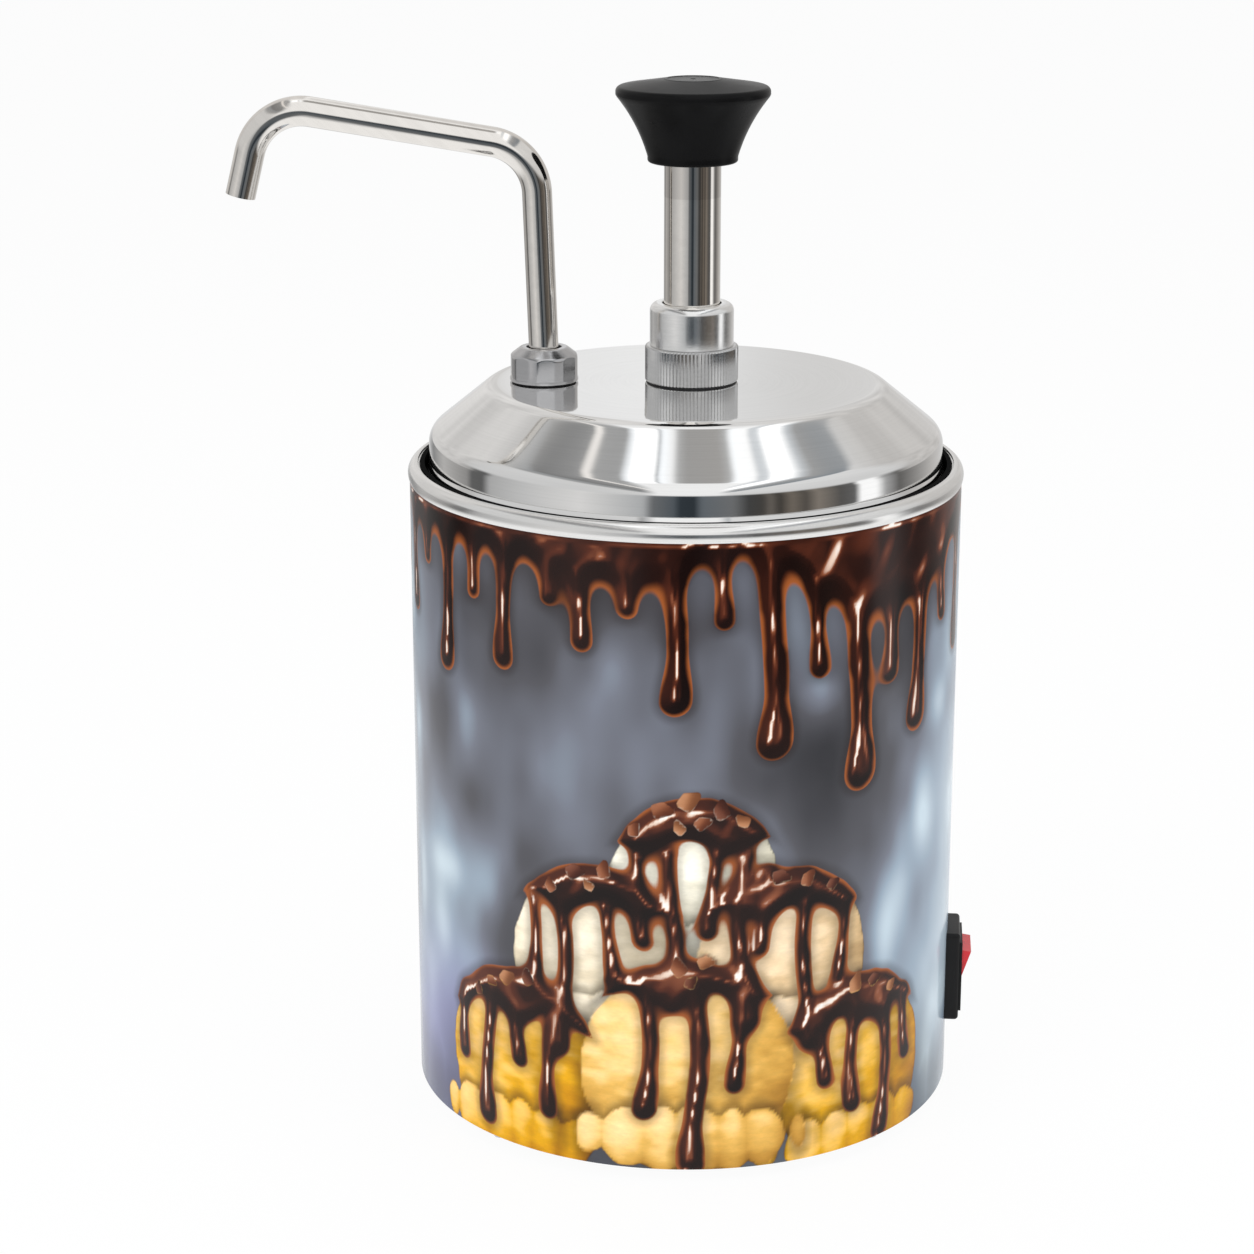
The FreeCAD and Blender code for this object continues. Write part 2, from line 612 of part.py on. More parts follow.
def element_path():
    """Pin, bend, ring of three arcs, bend, pin: the line that the element's middle follows."""
    ring_radius = value("element_ring_radius")
    level = value("element_level")
    bend = value("element_bend")
    pin = value("element_pin")
    half_gap = value("element_gap_angle / 2")

    def on_ring(degrees):
        angle = math.radians(degrees)
        return Vector(ring_radius * math.cos(angle), ring_radius * math.sin(angle), level)

    def leg(degrees, side):
        """The bend's far end, its middle and the pin's end, towards the gap from one end of the ring."""
        angle = math.radians(degrees)
        ahead = Vector(side * math.sin(angle), -side * math.cos(angle), 0)
        knee = on_ring(degrees) + ahead * bend - UP * bend
        middle = on_ring(degrees) + ahead * (bend / math.sqrt(2)) - UP * (bend - bend / math.sqrt(2))
        return knee, middle, knee - UP * pin

    at_back = 90
    whole_turn = 360
    first = at_back + half_gap
    last = at_back + whole_turn - half_gap
    knee_a, middle_a, end_a = leg(first, 1)
    knee_b, middle_b, end_b = leg(last, -1)
    edges = [Part.LineSegment(end_a, knee_a).toShape(), Part.Arc(knee_a, middle_a, on_ring(first)).toShape()]
    arc_count = 3
    step = (last - first) / arc_count
    for number in range(arc_count):
        low = first + number * step
        edges.append(Part.Arc(on_ring(low), on_ring(low + step / 2), on_ring(low + step)).toShape())
    edges.append(Part.Arc(on_ring(last), middle_b, knee_b).toShape())
    edges.append(Part.LineSegment(knee_b, end_b).toShape())
    return Part.Wire(edges), end_a, end_b


def tube_along(path, radius, bore=0.0):
    """A round bar or tube along a wire of lines and tangent arcs."""
    start = path.Edges[0].valueAt(path.Edges[0].FirstParameter)
    ahead = path.Edges[0].tangentAt(path.Edges[0].FirstParameter)
    profile = Part.Wire(Part.makeCircle(radius, start, ahead))
    bar = path.makePipeShell([profile], True, False)
    if bore:
        hollow = Part.Wire(Part.makeCircle(bore, start, ahead))
        bar = bar.cut(path.makePipeShell([hollow], True, False))
    return bar


element_line, element_end_a, element_end_b = element_path()
keep(shaped("element", tube_along(element_line, value("element_radius"))), "heating_element")

# A clamp bar under the element presses it to the spreader, held by a nut on the well's stud.
bar = padded(
    "clamp", "XY_Plane",
    lambda sketch: outline(
        sketch,
        [
            ("-clamp_length / 2", "-clamp_width / 2"),
            ("clamp_length / 2", "-clamp_width / 2"),
            ("clamp_length / 2", "clamp_width / 2"),
            ("-clamp_length / 2", "clamp_width / 2"),
        ],
    ),
    "clamp_thickness", "clamp_base",
)
cut(bar, "XY_Plane", lambda sketch: ring(sketch, "0", "0", "stud_radius + seat_gap"), "clamp_top")
keep(bar, "element_clamp")


def hex_nut(label, across, bore, height):
    """A plain hexagon nut standing on its own origin."""
    prism = solid("Part::Prism", label + "_hexagon", Circumradius="%s / sqrt(3)" % across, Height=height)
    prism.Polygon = 6
    hole = solid("Part::Cylinder", label + "_bore", Radius=bore, Height="%s + 2 * overrun" % height)
    place(hole, z="-overrun")
    return boolean("Part::Cut", label, prism, [hole])


clamp_nut = hex_nut("clamp_nut_solid", "clamp_nut_across", "stud_radius + fit_gap", "clamp_nut_height")
keep(place(clamp_nut, z="clamp_base - clamp_nut_height"), "clamp_nut")


def disc_switch(label, side):
    """A disc thermostat: a flange against the spreader, a round body and two blades below."""
    middle = side + "thermostat_offset"
    body = solid("Part::Cylinder", label + "_body", Radius="thermostat_radius", Height="thermostat_height")
    place(body, y=middle, z="spreader_base - thermostat_height")
    flange = solid("Part::Cylinder", label + "_flange", Radius="thermostat_flange_radius")
    flange.setExpression("Height", follow("thermostat_flange_height"))
    place(flange, y=middle, z="spreader_base - thermostat_flange_height")
    blades = []
    for number, way in enumerate(("-", "")):
        blades.append(
            cuboid(
                "%s_blade_%d" % (label, number), "blade_thickness", "blade_width", "blade_length + fit_gap",
                "%sblade_spacing / 2 - blade_thickness / 2" % way, "%s - blade_width / 2" % middle,
                "spreader_base - thermostat_height - blade_length",
            )
        )
    return boolean("Part::MultiFuse", label, body, [flange] + blades)


# The thermostat holds the water near serving heat, and the cut-out opens if the well runs dry.
keep(disc_switch("thermostat_unit", ""), "thermostat")
keep(disc_switch("cutout_unit", "-"), "thermal_cutout")

# The terminal block stands on the base plate: three ways with a bore each, two fixing screws.
block = padded(
    "block", "XZ_Plane",
    lambda sketch: outline(
        sketch,
        [
            ("-block_length / 2", "0"),
            ("block_length / 2", "0"),
            ("block_length / 2", "block_height"),
            ("-block_length / 2", "block_height"),
        ],
    ),
    "block_width", both_ways=True,
)


def block_bores(sketch):
    """Three wire ways, drawn on the block's front plane."""
    for x in ("-block_pitch", "0", "block_pitch"):
        ring(sketch, x, "block_height / 2", "block_bore")


cut(block, "XZ_Plane", block_bores, "block_width + 2 * overrun", "-block_width / 2 - overrun")


def block_screw_bores(sketch):
    """Two screw bores between the ways."""
    for x in ("-block_pitch / 2", "block_pitch / 2"):
        ring(sketch, x, "0", "block_screw_radius + seat_gap")


cut(block, "XY_Plane", block_screw_bores, "block_height + overrun")
place(block, "-block_x", "block_y", "shell_base")
keep(block, "terminal_block")
block_screw = revolved(
    [
        (0, 0),
        (value("block_screw_radius"), 0),
        (value("block_screw_radius"), value("block_height")),
        (value("block_screw_head_radius"), value("block_height")),
        (value("block_screw_head_radius"), value("block_height + block_screw_head_height")),
        (0, value("block_height + block_screw_head_height")),
    ]
)
block_screws = []
for side in (-1, 1):
    one_screw = block_screw.copy()
    screw_x = -value("block_x") + side * value("block_pitch / 2")
    one_screw.translate(Vector(screw_x, value("block_y"), value("shell_base")))
    block_screws.append(one_screw)
keep(shaped("block_screw_pair", Part.makeCompound(block_screws)), "terminal_block_screws")

# The cord gland is a threaded bushing with a domed nose. Its flange is saddled to the round cabinet,
# and a hexagon nut inside pulls it tight. The cord itself is not part of the object.
gland_turned = turned(
    "gland_turned",
    [
        ("gland_bore", "-gland_inner_reach"),
        ("gland_thread_radius", "-gland_inner_reach"),
        ("gland_thread_radius", "-gland_flange_height / 2"),
        ("gland_flange_radius", "-gland_flange_height / 2"),
        ("gland_flange_radius", "gland_flange_height"),
        ("gland_nose_radius", "gland_flange_height + gland_nose_height"),
        ("gland_bore", "gland_flange_height + gland_nose_height"),
    ],
    [("gland_round", [("gland_nose_radius", "gland_flange_height + gland_nose_height")])],
)
turn(gland_turned, Vector(1, 0, 0), -90)
place(gland_turned, y="body_radius", z="gland_height")
saddle = solid("Part::Cylinder", "gland_saddle", Radius="body_radius", Height="gland_height * 2")
saddle_core = solid("Part::Cylinder", "gland_core", Radius="gland_thread_radius", Height="body_radius")
turn(saddle_core, Vector(1, 0, 0), -90)
place(saddle_core, y="body_radius / 2", z="gland_height")
saddle_tool = boolean("Part::Cut", "gland_saddle_tool", saddle, [saddle_core])
keep(boolean("Part::Cut", "gland", gland_turned, [saddle_tool]), "cord_gland")
gland_nut = hex_nut(
    "gland_nut_solid", "gland_nut_across", "gland_thread_radius + fit_gap", "gland_nut_height"
)
turn(gland_nut, Vector(1, 0, 0), 90)
nut_face = "sqrt((shell_radius - shell_wall) ^ 2 - (gland_nut_across / sqrt(3)) ^ 2)"
place(gland_nut, y=nut_face, z="gland_height")
keep(gland_nut, "gland_nut")

# Switch. Its pieces are drawn with the switch facing +X at azimuth 0 and then turned together.


def on_side(thing):
    """Turn a piece of the switch about the cabinet's axis to its place on the right side."""
    return turn(thing, UP, -value("switch_turn_angle"))


block_blank = padded(
    "switch_blank", "YZ_Plane",
    lambda sketch: outline(
        sketch,
        [
            ("-switch_block_width / 2", "switch_centre_height - switch_block_height / 2"),
            ("switch_block_width / 2", "switch_centre_height - switch_block_height / 2"),
            ("switch_block_width / 2", "switch_centre_height + switch_block_height / 2"),
            ("-switch_block_width / 2", "switch_centre_height + switch_block_height / 2"),
        ],
    ),
    "switch_reach * 2", "switch_face - switch_reach * 2",
)
blank_pad = block_blank.Tip
outer_edges = []
for number, edge in enumerate(blank_pad.Shape.Edges, 1):
    box = edge.BoundBox
    if box.XMin > value("switch_face - fit_gap") or box.XLength > value("switch_reach"):
        outer_edges.append("Edge%d" % number)
softened = block_blank.newObject("PartDesign::Fillet", "switch_blank_round")
softened.Base = (blank_pad, outer_edges)
softened.setExpression("Radius", follow("switch_block_round"))
doc.recompute()
block_window = cuboid(
    "switch_block_window", "switch_reach * 4", "housing_width + 2 * fit_gap", "housing_height + 2 * fit_gap",
    "switch_face - switch_reach * 3", "-housing_width / 2 - fit_gap",
    "switch_centre_height - housing_height / 2 - fit_gap",
)
block_saddle = solid("Part::Cylinder", "switch_block_saddle", Radius="body_radius")
block_saddle.setExpression("Height", follow("switch_centre_height * 2"))
adapter = boolean("Part::Cut", "switch_adapter", block_blank, [block_window, block_saddle])
keep(on_side(adapter), "switch_block")

housing_back = "(switch_face - housing_depth)"
housing_body = cuboid(
    "housing_body", "housing_depth", "housing_width", "housing_height", housing_back, "-housing_width / 2",
    "switch_centre_height - housing_height / 2",
)
housing_bezel = cuboid(
    "housing_bezel", "bezel_proud", "bezel_width", "bezel_height", "switch_face", "-bezel_width / 2",
    "switch_centre_height - bezel_height / 2",
)
housing_pocket = cuboid(
    "housing_pocket", "pocket_depth + overrun", "rocker_width + 2 * rocker_side_gap", "pocket_height",
    "bezel_face - pocket_depth", "-rocker_width / 2 - rocker_side_gap",
    "switch_centre_height - pocket_height / 2",
)
trunnion_half = "(rocker_width / 2 + trunnion_length)"
trunnion_hole = solid("Part::Cylinder", "trunnion_hole", Radius="trunnion_radius + fit_gap")
trunnion_hole.setExpression("Height", follow("2 * (%s + seat_gap)" % trunnion_half))
turn(trunnion_hole, Vector(1, 0, 0), -90)
place(trunnion_hole, "rocker_axis_x", "-%s - seat_gap" % trunnion_half, "switch_centre_height")
housing_solid = boolean("Part::MultiFuse", "housing_solid", housing_body, [housing_bezel])
housing = boolean("Part::Cut", "housing", housing_solid, [housing_pocket, trunnion_hole])
keep(on_side(housing), "switch_housing")


def rocker_sketch(sketch):
    """The rocker's side view about its pivot: two faces that meet in a shallow V, and a keel below."""
    lift = "(rocker_pivot_depth + rocker_height / 2 * tan(rocker_tilt_angle * 1 deg))"
    outline(
        sketch,
        [
            (lift, "rocker_height / 2"),
            ("rocker_pivot_depth", "0"),
            (lift, "-rocker_height / 2"),
            ("rocker_pivot_depth - rocker_edge_depth", "-rocker_height / 2"),
            ("rocker_pivot_depth - rocker_keel_depth", "-rocker_keel_height / 2"),
            ("rocker_pivot_depth - rocker_keel_depth", "rocker_keel_height / 2"),
            ("rocker_pivot_depth - rocker_edge_depth", "rocker_height / 2"),
        ],
    )


rocker_wedge = padded("rocker_wedge", "XZ_Plane", rocker_sketch, "rocker_width", both_ways=True)
trunnion = solid("Part::Cylinder", "trunnion", Radius="trunnion_radius", Height="2 * %s" % trunnion_half)
turn(trunnion, Vector(1, 0, 0), -90)
place(trunnion, y="-%s" % trunnion_half)
rocker = boolean("Part::MultiFuse", "rocker", rocker_wedge, [trunnion])
side_turn = FreeCAD.Rotation(UP, -value("switch_turn_angle"))
rocker_tilt = FreeCAD.Rotation(Vector(0, 1, 0), value("rocker_tilt_angle"))
rocker.Placement = FreeCAD.Placement(ORIGIN, side_turn.multiply(rocker_tilt))
place(
    rocker,
    "rocker_axis_x * cos(switch_turn_angle * 1 deg)",
    "-rocker_axis_x * sin(switch_turn_angle * 1 deg)",
    "switch_centre_height",
)
keep(rocker, "switch_rocker")

blades = []
for number, side in enumerate("-+"):
    blades.append(
        cuboid(
            "switch_blade_%d" % number, "terminal_reach", "blade_thickness", "blade_width",
            "%s - terminal_reach" % housing_back, "-blade_thickness / 2",
            "switch_centre_height %s terminal_pitch / 2 - blade_width / 2" % side,
        )
    )
blade_set = doc.addObject("Part::Compound", "switch_blades")
blade_set.Links = blades
doc.recompute()
keep(on_side(blade_set), "switch_terminals")

# The food jar is a drawn steel pot. Its flange hangs on the well's ledge.
jar = turned(
    "jar",
    [
        ("0", "jar_floor - jar_metal"),
        ("jar_radius", "jar_floor - jar_metal"),
        ("jar_radius", "ledge"),
        ("jar_flange_radius", "ledge"),
        ("jar_flange_radius", "jar_seat"),
        ("jar_radius - jar_metal", "jar_seat"),
        ("jar_radius - jar_metal", "jar_floor"),
        ("0", "jar_floor"),
    ],
    [
        ("jar_corner_round", [("jar_radius", "jar_floor - jar_metal")]),
        ("jar_corner_round - jar_metal", [("jar_radius - jar_metal", "jar_floor")]),
    ],
)
keep(jar, "food_jar")

# A black silicone ring seals the lid on the jar's flange. The lid's skirt stands in its groove.
lid_inner = "(lid_radius - lid_metal)"
gasket = turned(
    "gasket",
    [
        (lid_inner + " - gasket_reach", "jar_seat"),
        ("lid_radius + gasket_reach / 2", "jar_seat"),
        ("lid_radius + gasket_reach / 2", "gasket_top"),
        ("lid_radius + fit_gap", "gasket_top"),
        ("lid_radius + fit_gap", "skirt_base"),
        (lid_inner + " - fit_gap", "skirt_base"),
        (lid_inner + " - fit_gap", "gasket_top"),
        (lid_inner + " - gasket_reach", "gasket_top"),
    ],
)
keep(gasket, "lid_gasket")

# The lid is spun steel: a short skirt with a rolled bead, a steep shoulder and a flat top with two holes.
bead_base = "gasket_top + bead_offset - bead_height + fit_gap"
slope_shift = "lid_metal * tan(lid_slope_angle / 2)"
lid_solid = turned(
    "lid_solid",
    [
        (lid_inner, "skirt_base"),
        ("lid_radius", "skirt_base"),
        ("lid_radius", bead_base),
        ("lid_radius + bead_reach", bead_base),
        ("lid_radius + bead_reach", bead_base + " + bead_height"),
        ("lid_radius", bead_base + " + bead_height"),
        ("lid_radius", "skirt_top"),
        ("lid_top_radius", "lid_top"),
        ("0", "lid_top"),
        ("0", "lid_under"),
        ("lid_top_radius - " + slope_shift, "lid_under"),
        (lid_inner, "skirt_top - " + slope_shift),
    ],
    [
        ("lid_shoulder_round", [("lid_radius", "skirt_top")]),
        ("lid_shoulder_round - lid_metal", [(lid_inner, "skirt_top - " + slope_shift)]),
        ("lid_top_round", [("lid_top_radius", "lid_top")]),
        ("lid_top_round - lid_metal", [("lid_top_radius - " + slope_shift, "lid_under")]),
    ],
)


def lid_holes(sketch):
    """The pump's hole and the spout fitting's hole."""
    ring(sketch, "pump_offset", "0", "cylinder_radius + seat_gap")
    ring(sketch, "-spout_offset", "0", "fitting_radius + seat_gap")


cut(lid_solid, "XY_Plane", lid_holes, "lid_metal + 2 * overrun", "lid_under - overrun")
keep(lid_solid, "lid")


def at_pump(body, name):
    """Place a turned piece on the pump's axis."""
    return keep(place(body, "pump_offset"), name)


def at_spout(body, name):
    """Place a turned piece on the spout's swivel axis."""
    return keep(place(body, "-spout_offset"), name)


def sleeve(label, inner, outer, base, top, rounds=()):
    """A plain ring or sleeve."""
    return turned(label, [(inner, base), (outer, base), (outer, top), (inner, top)], rounds)


# The pump cylinder hangs through the lid: its flange is clamped from above by the knurled lock nut.
cylinder = turned(
    "cylinder",
    [
        ("cylinder_bore", "cage_top"),
        ("cylinder_radius", "cage_top"),
        ("cylinder_radius", "flange_top - cylinder_flange_height"),
        ("cylinder_flange_radius", "flange_top - cylinder_flange_height"),
        ("cylinder_flange_radius", "flange_top"),
        ("cylinder_radius", "flange_top"),
        ("cylinder_radius", "collar_under - wiper_height"),
        ("cylinder_bore", "collar_under - wiper_height"),
    ],
)
at_pump(cylinder, "pump_cylinder")
at_pump(
    sleeve("under_gasket", "cylinder_radius + fit_gap", "pump_gasket_radius", "flange_top", "lid_under"),
    "under_lid_gasket",
)
at_pump(
    sleeve("top_gasket", "cylinder_radius + fit_gap", "pump_gasket_radius", "lid_top", "nut_base"),
    "pump_gasket",
)


def knurled(sketch):
    """A toothed outline of straight knurls round a plain bore."""
    count = int(value("knurl_count"))
    outer = value("lock_nut_radius")
    root = outer - value("knurl_depth")
    spots = []
    for number in range(2 * count):
        angle = math.pi * number / count
        reach = root if number % 2 else outer
        spots.append(Vector(reach * math.cos(angle), reach * math.sin(angle), 0))
    for number, spot in enumerate(spots):
        sketch.addGeometry(Part.LineSegment(spot, spots[(number + 1) % len(spots)]), False)
    ring(sketch, "0", "0", "cylinder_radius + fit_gap")


knurled_blank = padded("knurled_blank", "XY_Plane", knurled, "lock_nut_height", "nut_base")
nut_envelope = turned(
    "nut_envelope",
    [
        ("0", "nut_base"),
        ("lock_nut_radius", "nut_base"),
        ("lock_nut_radius", "nut_top"),
        ("0", "nut_top"),
    ],
    [("lock_nut_round", [("lock_nut_radius", "nut_top"), ("lock_nut_radius", "nut_base")])],
)
lock_nut = boolean("Part::MultiCommon", "lock_nut", knurled_blank, [nut_envelope])
keep(place(lock_nut, "pump_offset"), "knurled_lock_nut")

# The collar screws on the cylinder's top, over the guide bush and the wiper ring.
collar = turned(
    "collar",
    [
        ("cylinder_radius + fit_gap", "nut_top"),
        ("collar_radius", "nut_top"),
        ("collar_radius", "collar_top"),
        ("plunger_radius + collar_bore_gap", "collar_top"),
        ("plunger_radius + collar_bore_gap", "collar_under"),
        ("cylinder_radius + fit_gap", "collar_under"),
    ],
    [("collar_round", [("collar_radius", "collar_top")])],
)
at_pump(collar, "pump_collar")
bush_top = "(collar_under - wiper_height)"
at_pump(
    sleeve(
        "bush", "plunger_radius + fit_gap", "cylinder_bore - fit_gap / 2",
        bush_top + " - bush_height", bush_top,
    ),
    "guide_bush",
)
at_pump(
    sleeve(
        "wiper", "plunger_radius + fit_gap", "plunger_radius + fit_gap + wiper_width", bush_top,
        "collar_under - fit_gap",
    ),
    "wiper_ring",
)

# The plunger is a thin steel tube with the piston at its foot and the knob on top.
plunger_bore = "(plunger_radius - plunger_wall)"
at_pump(
    sleeve("plunger", plunger_bore, "plunger_radius", "piston_top", "knob_base + knob_grip_depth"),
    "plunger_tube",
)
piston_radius = "(cylinder_bore - piston_running_gap)"
groove_radius = "(cylinder_bore - piston_running_gap - groove_depth)"


def groove_level(number):
    """The lower side of one seal groove."""
    return "piston_base + groove_offset + %d * groove_pitch" % number


piston_corners = [("0", "piston_base - spring_nose_length")]
piston_corners.append(("spring_nose_radius", "piston_base - spring_nose_length"))
piston_corners.append(("spring_nose_radius", "piston_base"))
piston_corners.append((piston_radius, "piston_base"))
for number in range(2):
    piston_corners.append((piston_radius, groove_level(number)))
    piston_corners.append((groove_radius, groove_level(number)))
    piston_corners.append((groove_radius, groove_level(number) + " + groove_height"))
    piston_corners.append((piston_radius, groove_level(number) + " + groove_height"))
piston_corners.append((piston_radius, "piston_top"))
piston_corners.append((plunger_bore + " - fit_gap", "piston_top"))
piston_corners.append((plunger_bore + " - fit_gap", "piston_top + spigot_length"))
piston_corners.append(("0", "piston_top + spigot_length"))
at_pump(turned("piston", piston_corners), "piston_head")

seal_rings = []
for number in range(2):
    base = value(groove_level(number) + " + fit_gap")
    top = value(groove_level(number) + " + groove_height - fit_gap")
    inner = value(groove_radius + " + fit_gap")
    outer = value("cylinder_bore - fit_gap")
    seal_rings.append(revolved([(inner, base), (outer, base), (outer, top), (inner, top)]))
seals = shaped("seals", Part.makeCompound(seal_rings))
at_pump(seals, "piston_seals")

# The knob is one turned black moulding: a narrow foot, a flare like a trumpet, a beaded edge and a
# low dome with a flat disc on top.
flare_start = ("knob_base_radius", "knob_base + knob_base_height")
bead_top = "knob_base + knob_height - knob_dome_rise"
flare_end = ("knob_top_radius - knob_bead_inset", bead_top + " - knob_bead_height")


def knob_section(sketch):
    """The knob's half section: straight runs, and one arc for the flare."""
    corners = [
        ("plunger_radius + fit_gap", "knob_base"),
        ("knob_base_radius", "knob_base"),
        flare_start,
        flare_end,
        ("knob_top_radius", flare_end[1] + " + 2 * knob_bead_inset"),
        ("knob_top_radius", bead_top),
        ("knob_disc_radius", "knob_base + knob_height"),
        ("0", "knob_base + knob_height"),
        ("0", "knob_base + knob_grip_depth + knob_stud_reach + fit_gap"),
        ("knob_stud_radius + fit_gap", "knob_base + knob_grip_depth + knob_stud_reach + fit_gap"),
        ("knob_stud_radius + fit_gap", "knob_base + knob_grip_depth"),
        ("plunger_radius + fit_gap", "knob_base + knob_grip_depth"),
    ]
    spots = [Vector(value(x), value(y), 0) for x, y in corners]
    flare = corners.index(flare_start)
    start, end = spots[flare], spots[flare + 1]
    chord = end - start
    half = chord.Length / 2
    radius = value("knob_flare_radius")
    aside = Vector(chord.y, -chord.x, 0).normalize()
    centre = (start + end) / 2 + aside * math.sqrt(radius ** 2 - half ** 2)
    bulge = centre + ((start + end) / 2 - centre).normalize() * radius
    for index, spot in enumerate(spots):
        following = spots[(index + 1) % len(spots)]
        if index == flare:
            sketch.addGeometry(Part.Arc(spot, bulge, following), False)
        else:
            sketch.addGeometry(Part.LineSegment(spot, following), False)


knob = new_body("knob")
knob_sketch = draw(knob, "XZ_Plane", "knob_profile")
knob_section(knob_sketch)
knob_turned = knob.newObject("PartDesign::Revolution", "knob_turned")
knob_turned.Profile = knob_sketch
knob_turned.ReferenceAxis = (knob_sketch, ["V_Axis"])
knob_turned.Angle = 360
doc.recompute()
round_off(knob, "knob_bead_round", [("knob_top_radius", bead_top)])
round_off(knob, "knob_neck_round", [("knob_base_radius", "knob_base")])
at_pump(knob, "plunger_knob")

# A plug pressed in the plunger's top carries the stud that the knob screws on.
plug_top = "(knob_base + knob_grip_depth)"
plug = turned(
    "plug",
    [
        ("0", plug_top + " - knob_plug_depth"),
        (plunger_bore + " - fit_gap", plug_top + " - knob_plug_depth"),
        (plunger_bore + " - fit_gap", plug_top),
        ("knob_stud_radius", plug_top),
        ("knob_stud_radius", plug_top + " + knob_stud_reach"),
        ("0", plug_top + " + knob_stud_reach"),
    ],
)
at_pump(plug, "knob_stud")

# The return spring stands on the foot's step and pushes the piston up. Its wire is one helix, swept along
# pairs of tangent arcs, a pair for each quarter turn.


def arc_pair(start, start_way, end, end_way):
    """Two tangent arcs between two points with given directions."""
    across = end - start
    ways = start_way + end_way
    a = ways.dot(ways) - 4
    b = -2 * across.dot(ways)
    c = across.dot(across)
    reach = (-b - math.sqrt(b * b - 4 * a * c)) / (2 * a)
    first = start + start_way * reach
    second = end - end_way * reach
    joint = (first + second) / 2
    return [tangent_arc(start, start_way, joint), tangent_arc(end, end_way * -1, joint)[::-1]]


def tangent_arc(start, way, end):
    """The start, middle and end of the arc that leaves start along way and reaches end."""
    chord = end - start
    normal = way.cross(chord).cross(way)
    normal.normalize()
    radius = chord.dot(chord) / (2 * chord.dot(normal))
    centre = start + normal * radius
    towards = (start + end) / 2 - centre
    towards.normalize()
    return (start, centre + towards * radius, end)


def helix_path(radius, base, top, turn_count):
    """A helix about the Z axis as a wire of tangent arcs."""
    quarters = int(turn_count * 4)
    climb = (top - base) / quarters
    edges = []
    for number in range(quarters):
        ends = []
        for position in (number, number + 1):
            angle = math.pi / 2 * position
            spot = Vector(radius * math.cos(angle), radius * math.sin(angle), base + climb * position)
            way = Vector(-radius * math.sin(angle), radius * math.cos(angle), 2 * climb / math.pi)
            way.normalize()
            ends += [spot, way]
        for points in arc_pair(*ends):
            edges.append(Part.Arc(*points).toShape())
    return Part.Wire(edges)


wire = value("spring_wire_radius")
spring_turns = value("spring_turn_count")
spring_low = value("cage_top") + wire + value("fit_gap")
spring_high = value("piston_base") - wire - value("fit_gap")
spring_line = helix_path(value("spring_radius"), spring_low, spring_high, spring_turns)
spring_shape = tube_along(spring_line, wire)
print("return spring: least gap between turns", (spring_high - spring_low) / spring_turns - 2 * wire)
at_pump(shaped("spring", spring_shape), "return_spring")

pump_x = "pump_offset"
spout_x = "-spout_offset"


def upright(label, radius, base, top, x):
    """An upright cylinder on the pump's or the spout's axis."""
    cylinder = solid("Part::Cylinder", label, Radius=radius, Height="%s - (%s)" % (top, base))
    return place(cylinder, x, z=base)


# The pump foot is one machined casting: the inlet chamber under the cylinder, a bridge with a cross
# passage, and the outlet chamber under the riser.
foot_middle = upright("foot_middle", "foot_body_radius", "foot_base", "pump_foot_top", pump_x)
foot_side = upright("foot_side", "outlet_body_radius", "foot_base", "riser_foot_top", spout_x)
foot_bridge = cuboid(
    "foot_bridge", "pump_offset + spout_offset", "bridge_width", "cage_top - foot_base", "-spout_offset",
    "-bridge_width / 2", "foot_base",
)
foot_bores = [
    upright("socket_bore", "cylinder_radius + fit_gap", "cage_top", "pump_foot_top + overrun", pump_x),
    upright("cage_bore", "cage_radius", "inlet_seat", "cage_top + overrun", pump_x),
    upright("seat_bore", "inlet_seat_radius + fit_gap", "foot_base - overrun", "inlet_seat", pump_x),
    upright("outlet_rise_bore", "passage_radius", "passage_level", "outlet_seat + overrun", spout_x),
    upright("outlet_cage_bore", "outlet_cage_radius", "outlet_seat", "outlet_cage_top + overrun", spout_x),
    upright(
        "riser_socket_bore", "riser_foot_radius + fit_gap", "outlet_cage_top", "riser_foot_top + overrun",
        spout_x,
    ),
]
cross_bore = solid("Part::Cylinder", "cross_bore", Radius="passage_radius")
cross_bore.setExpression("Height", follow("spout_offset + pump_offset"))
turn(cross_bore, Vector(0, 1, 0), 90)
foot_bores.append(place(cross_bore, "-spout_offset", z="passage_level"))
pin_bore = solid("Part::Cylinder", "pin_bore", Radius="stop_pin_radius")
pin_bore.setExpression("Height", follow("2 * (foot_body_radius + overrun)"))
turn(pin_bore, Vector(1, 0, 0), 90)
foot_bores.append(place(pin_bore, "pump_offset", "foot_body_radius + overrun", "cage_top - stop_pin_drop"))
foot_solid = boolean("Part::MultiFuse", "foot_solid", foot_middle, [foot_side, foot_bridge])
keep(boolean("Part::Cut", "pump_foot", foot_solid, foot_bores), "valve_body")

# The inlet seat is a pressed-in ring that the inlet ball rests on; a cross pin keeps the ball in its cage.
at_pump(
    sleeve("inlet_seat_ring", "inlet_seat_bore", "inlet_seat_radius", "foot_base", "inlet_seat"), "inlet_seat"
)
stop_pin = solid("Part::Cylinder", "stop_pin", Radius="stop_pin_radius")
stop_pin.setExpression("Height", follow("2 * foot_body_radius - seat_gap"))
turn(stop_pin, Vector(1, 0, 0), 90)
place(stop_pin, "pump_offset", "foot_body_radius - seat_gap / 2", "cage_top - stop_pin_drop")
keep(stop_pin, "ball_stop_pin")
inlet_rest = "inlet_seat + sqrt(inlet_ball_radius ^ 2 - inlet_seat_bore ^ 2) + fit_gap"
inlet_sphere = solid("Part::Sphere", "inlet_sphere", Radius="inlet_ball_radius")
keep(place(inlet_sphere, pump_x, z=inlet_rest), "inlet_ball")
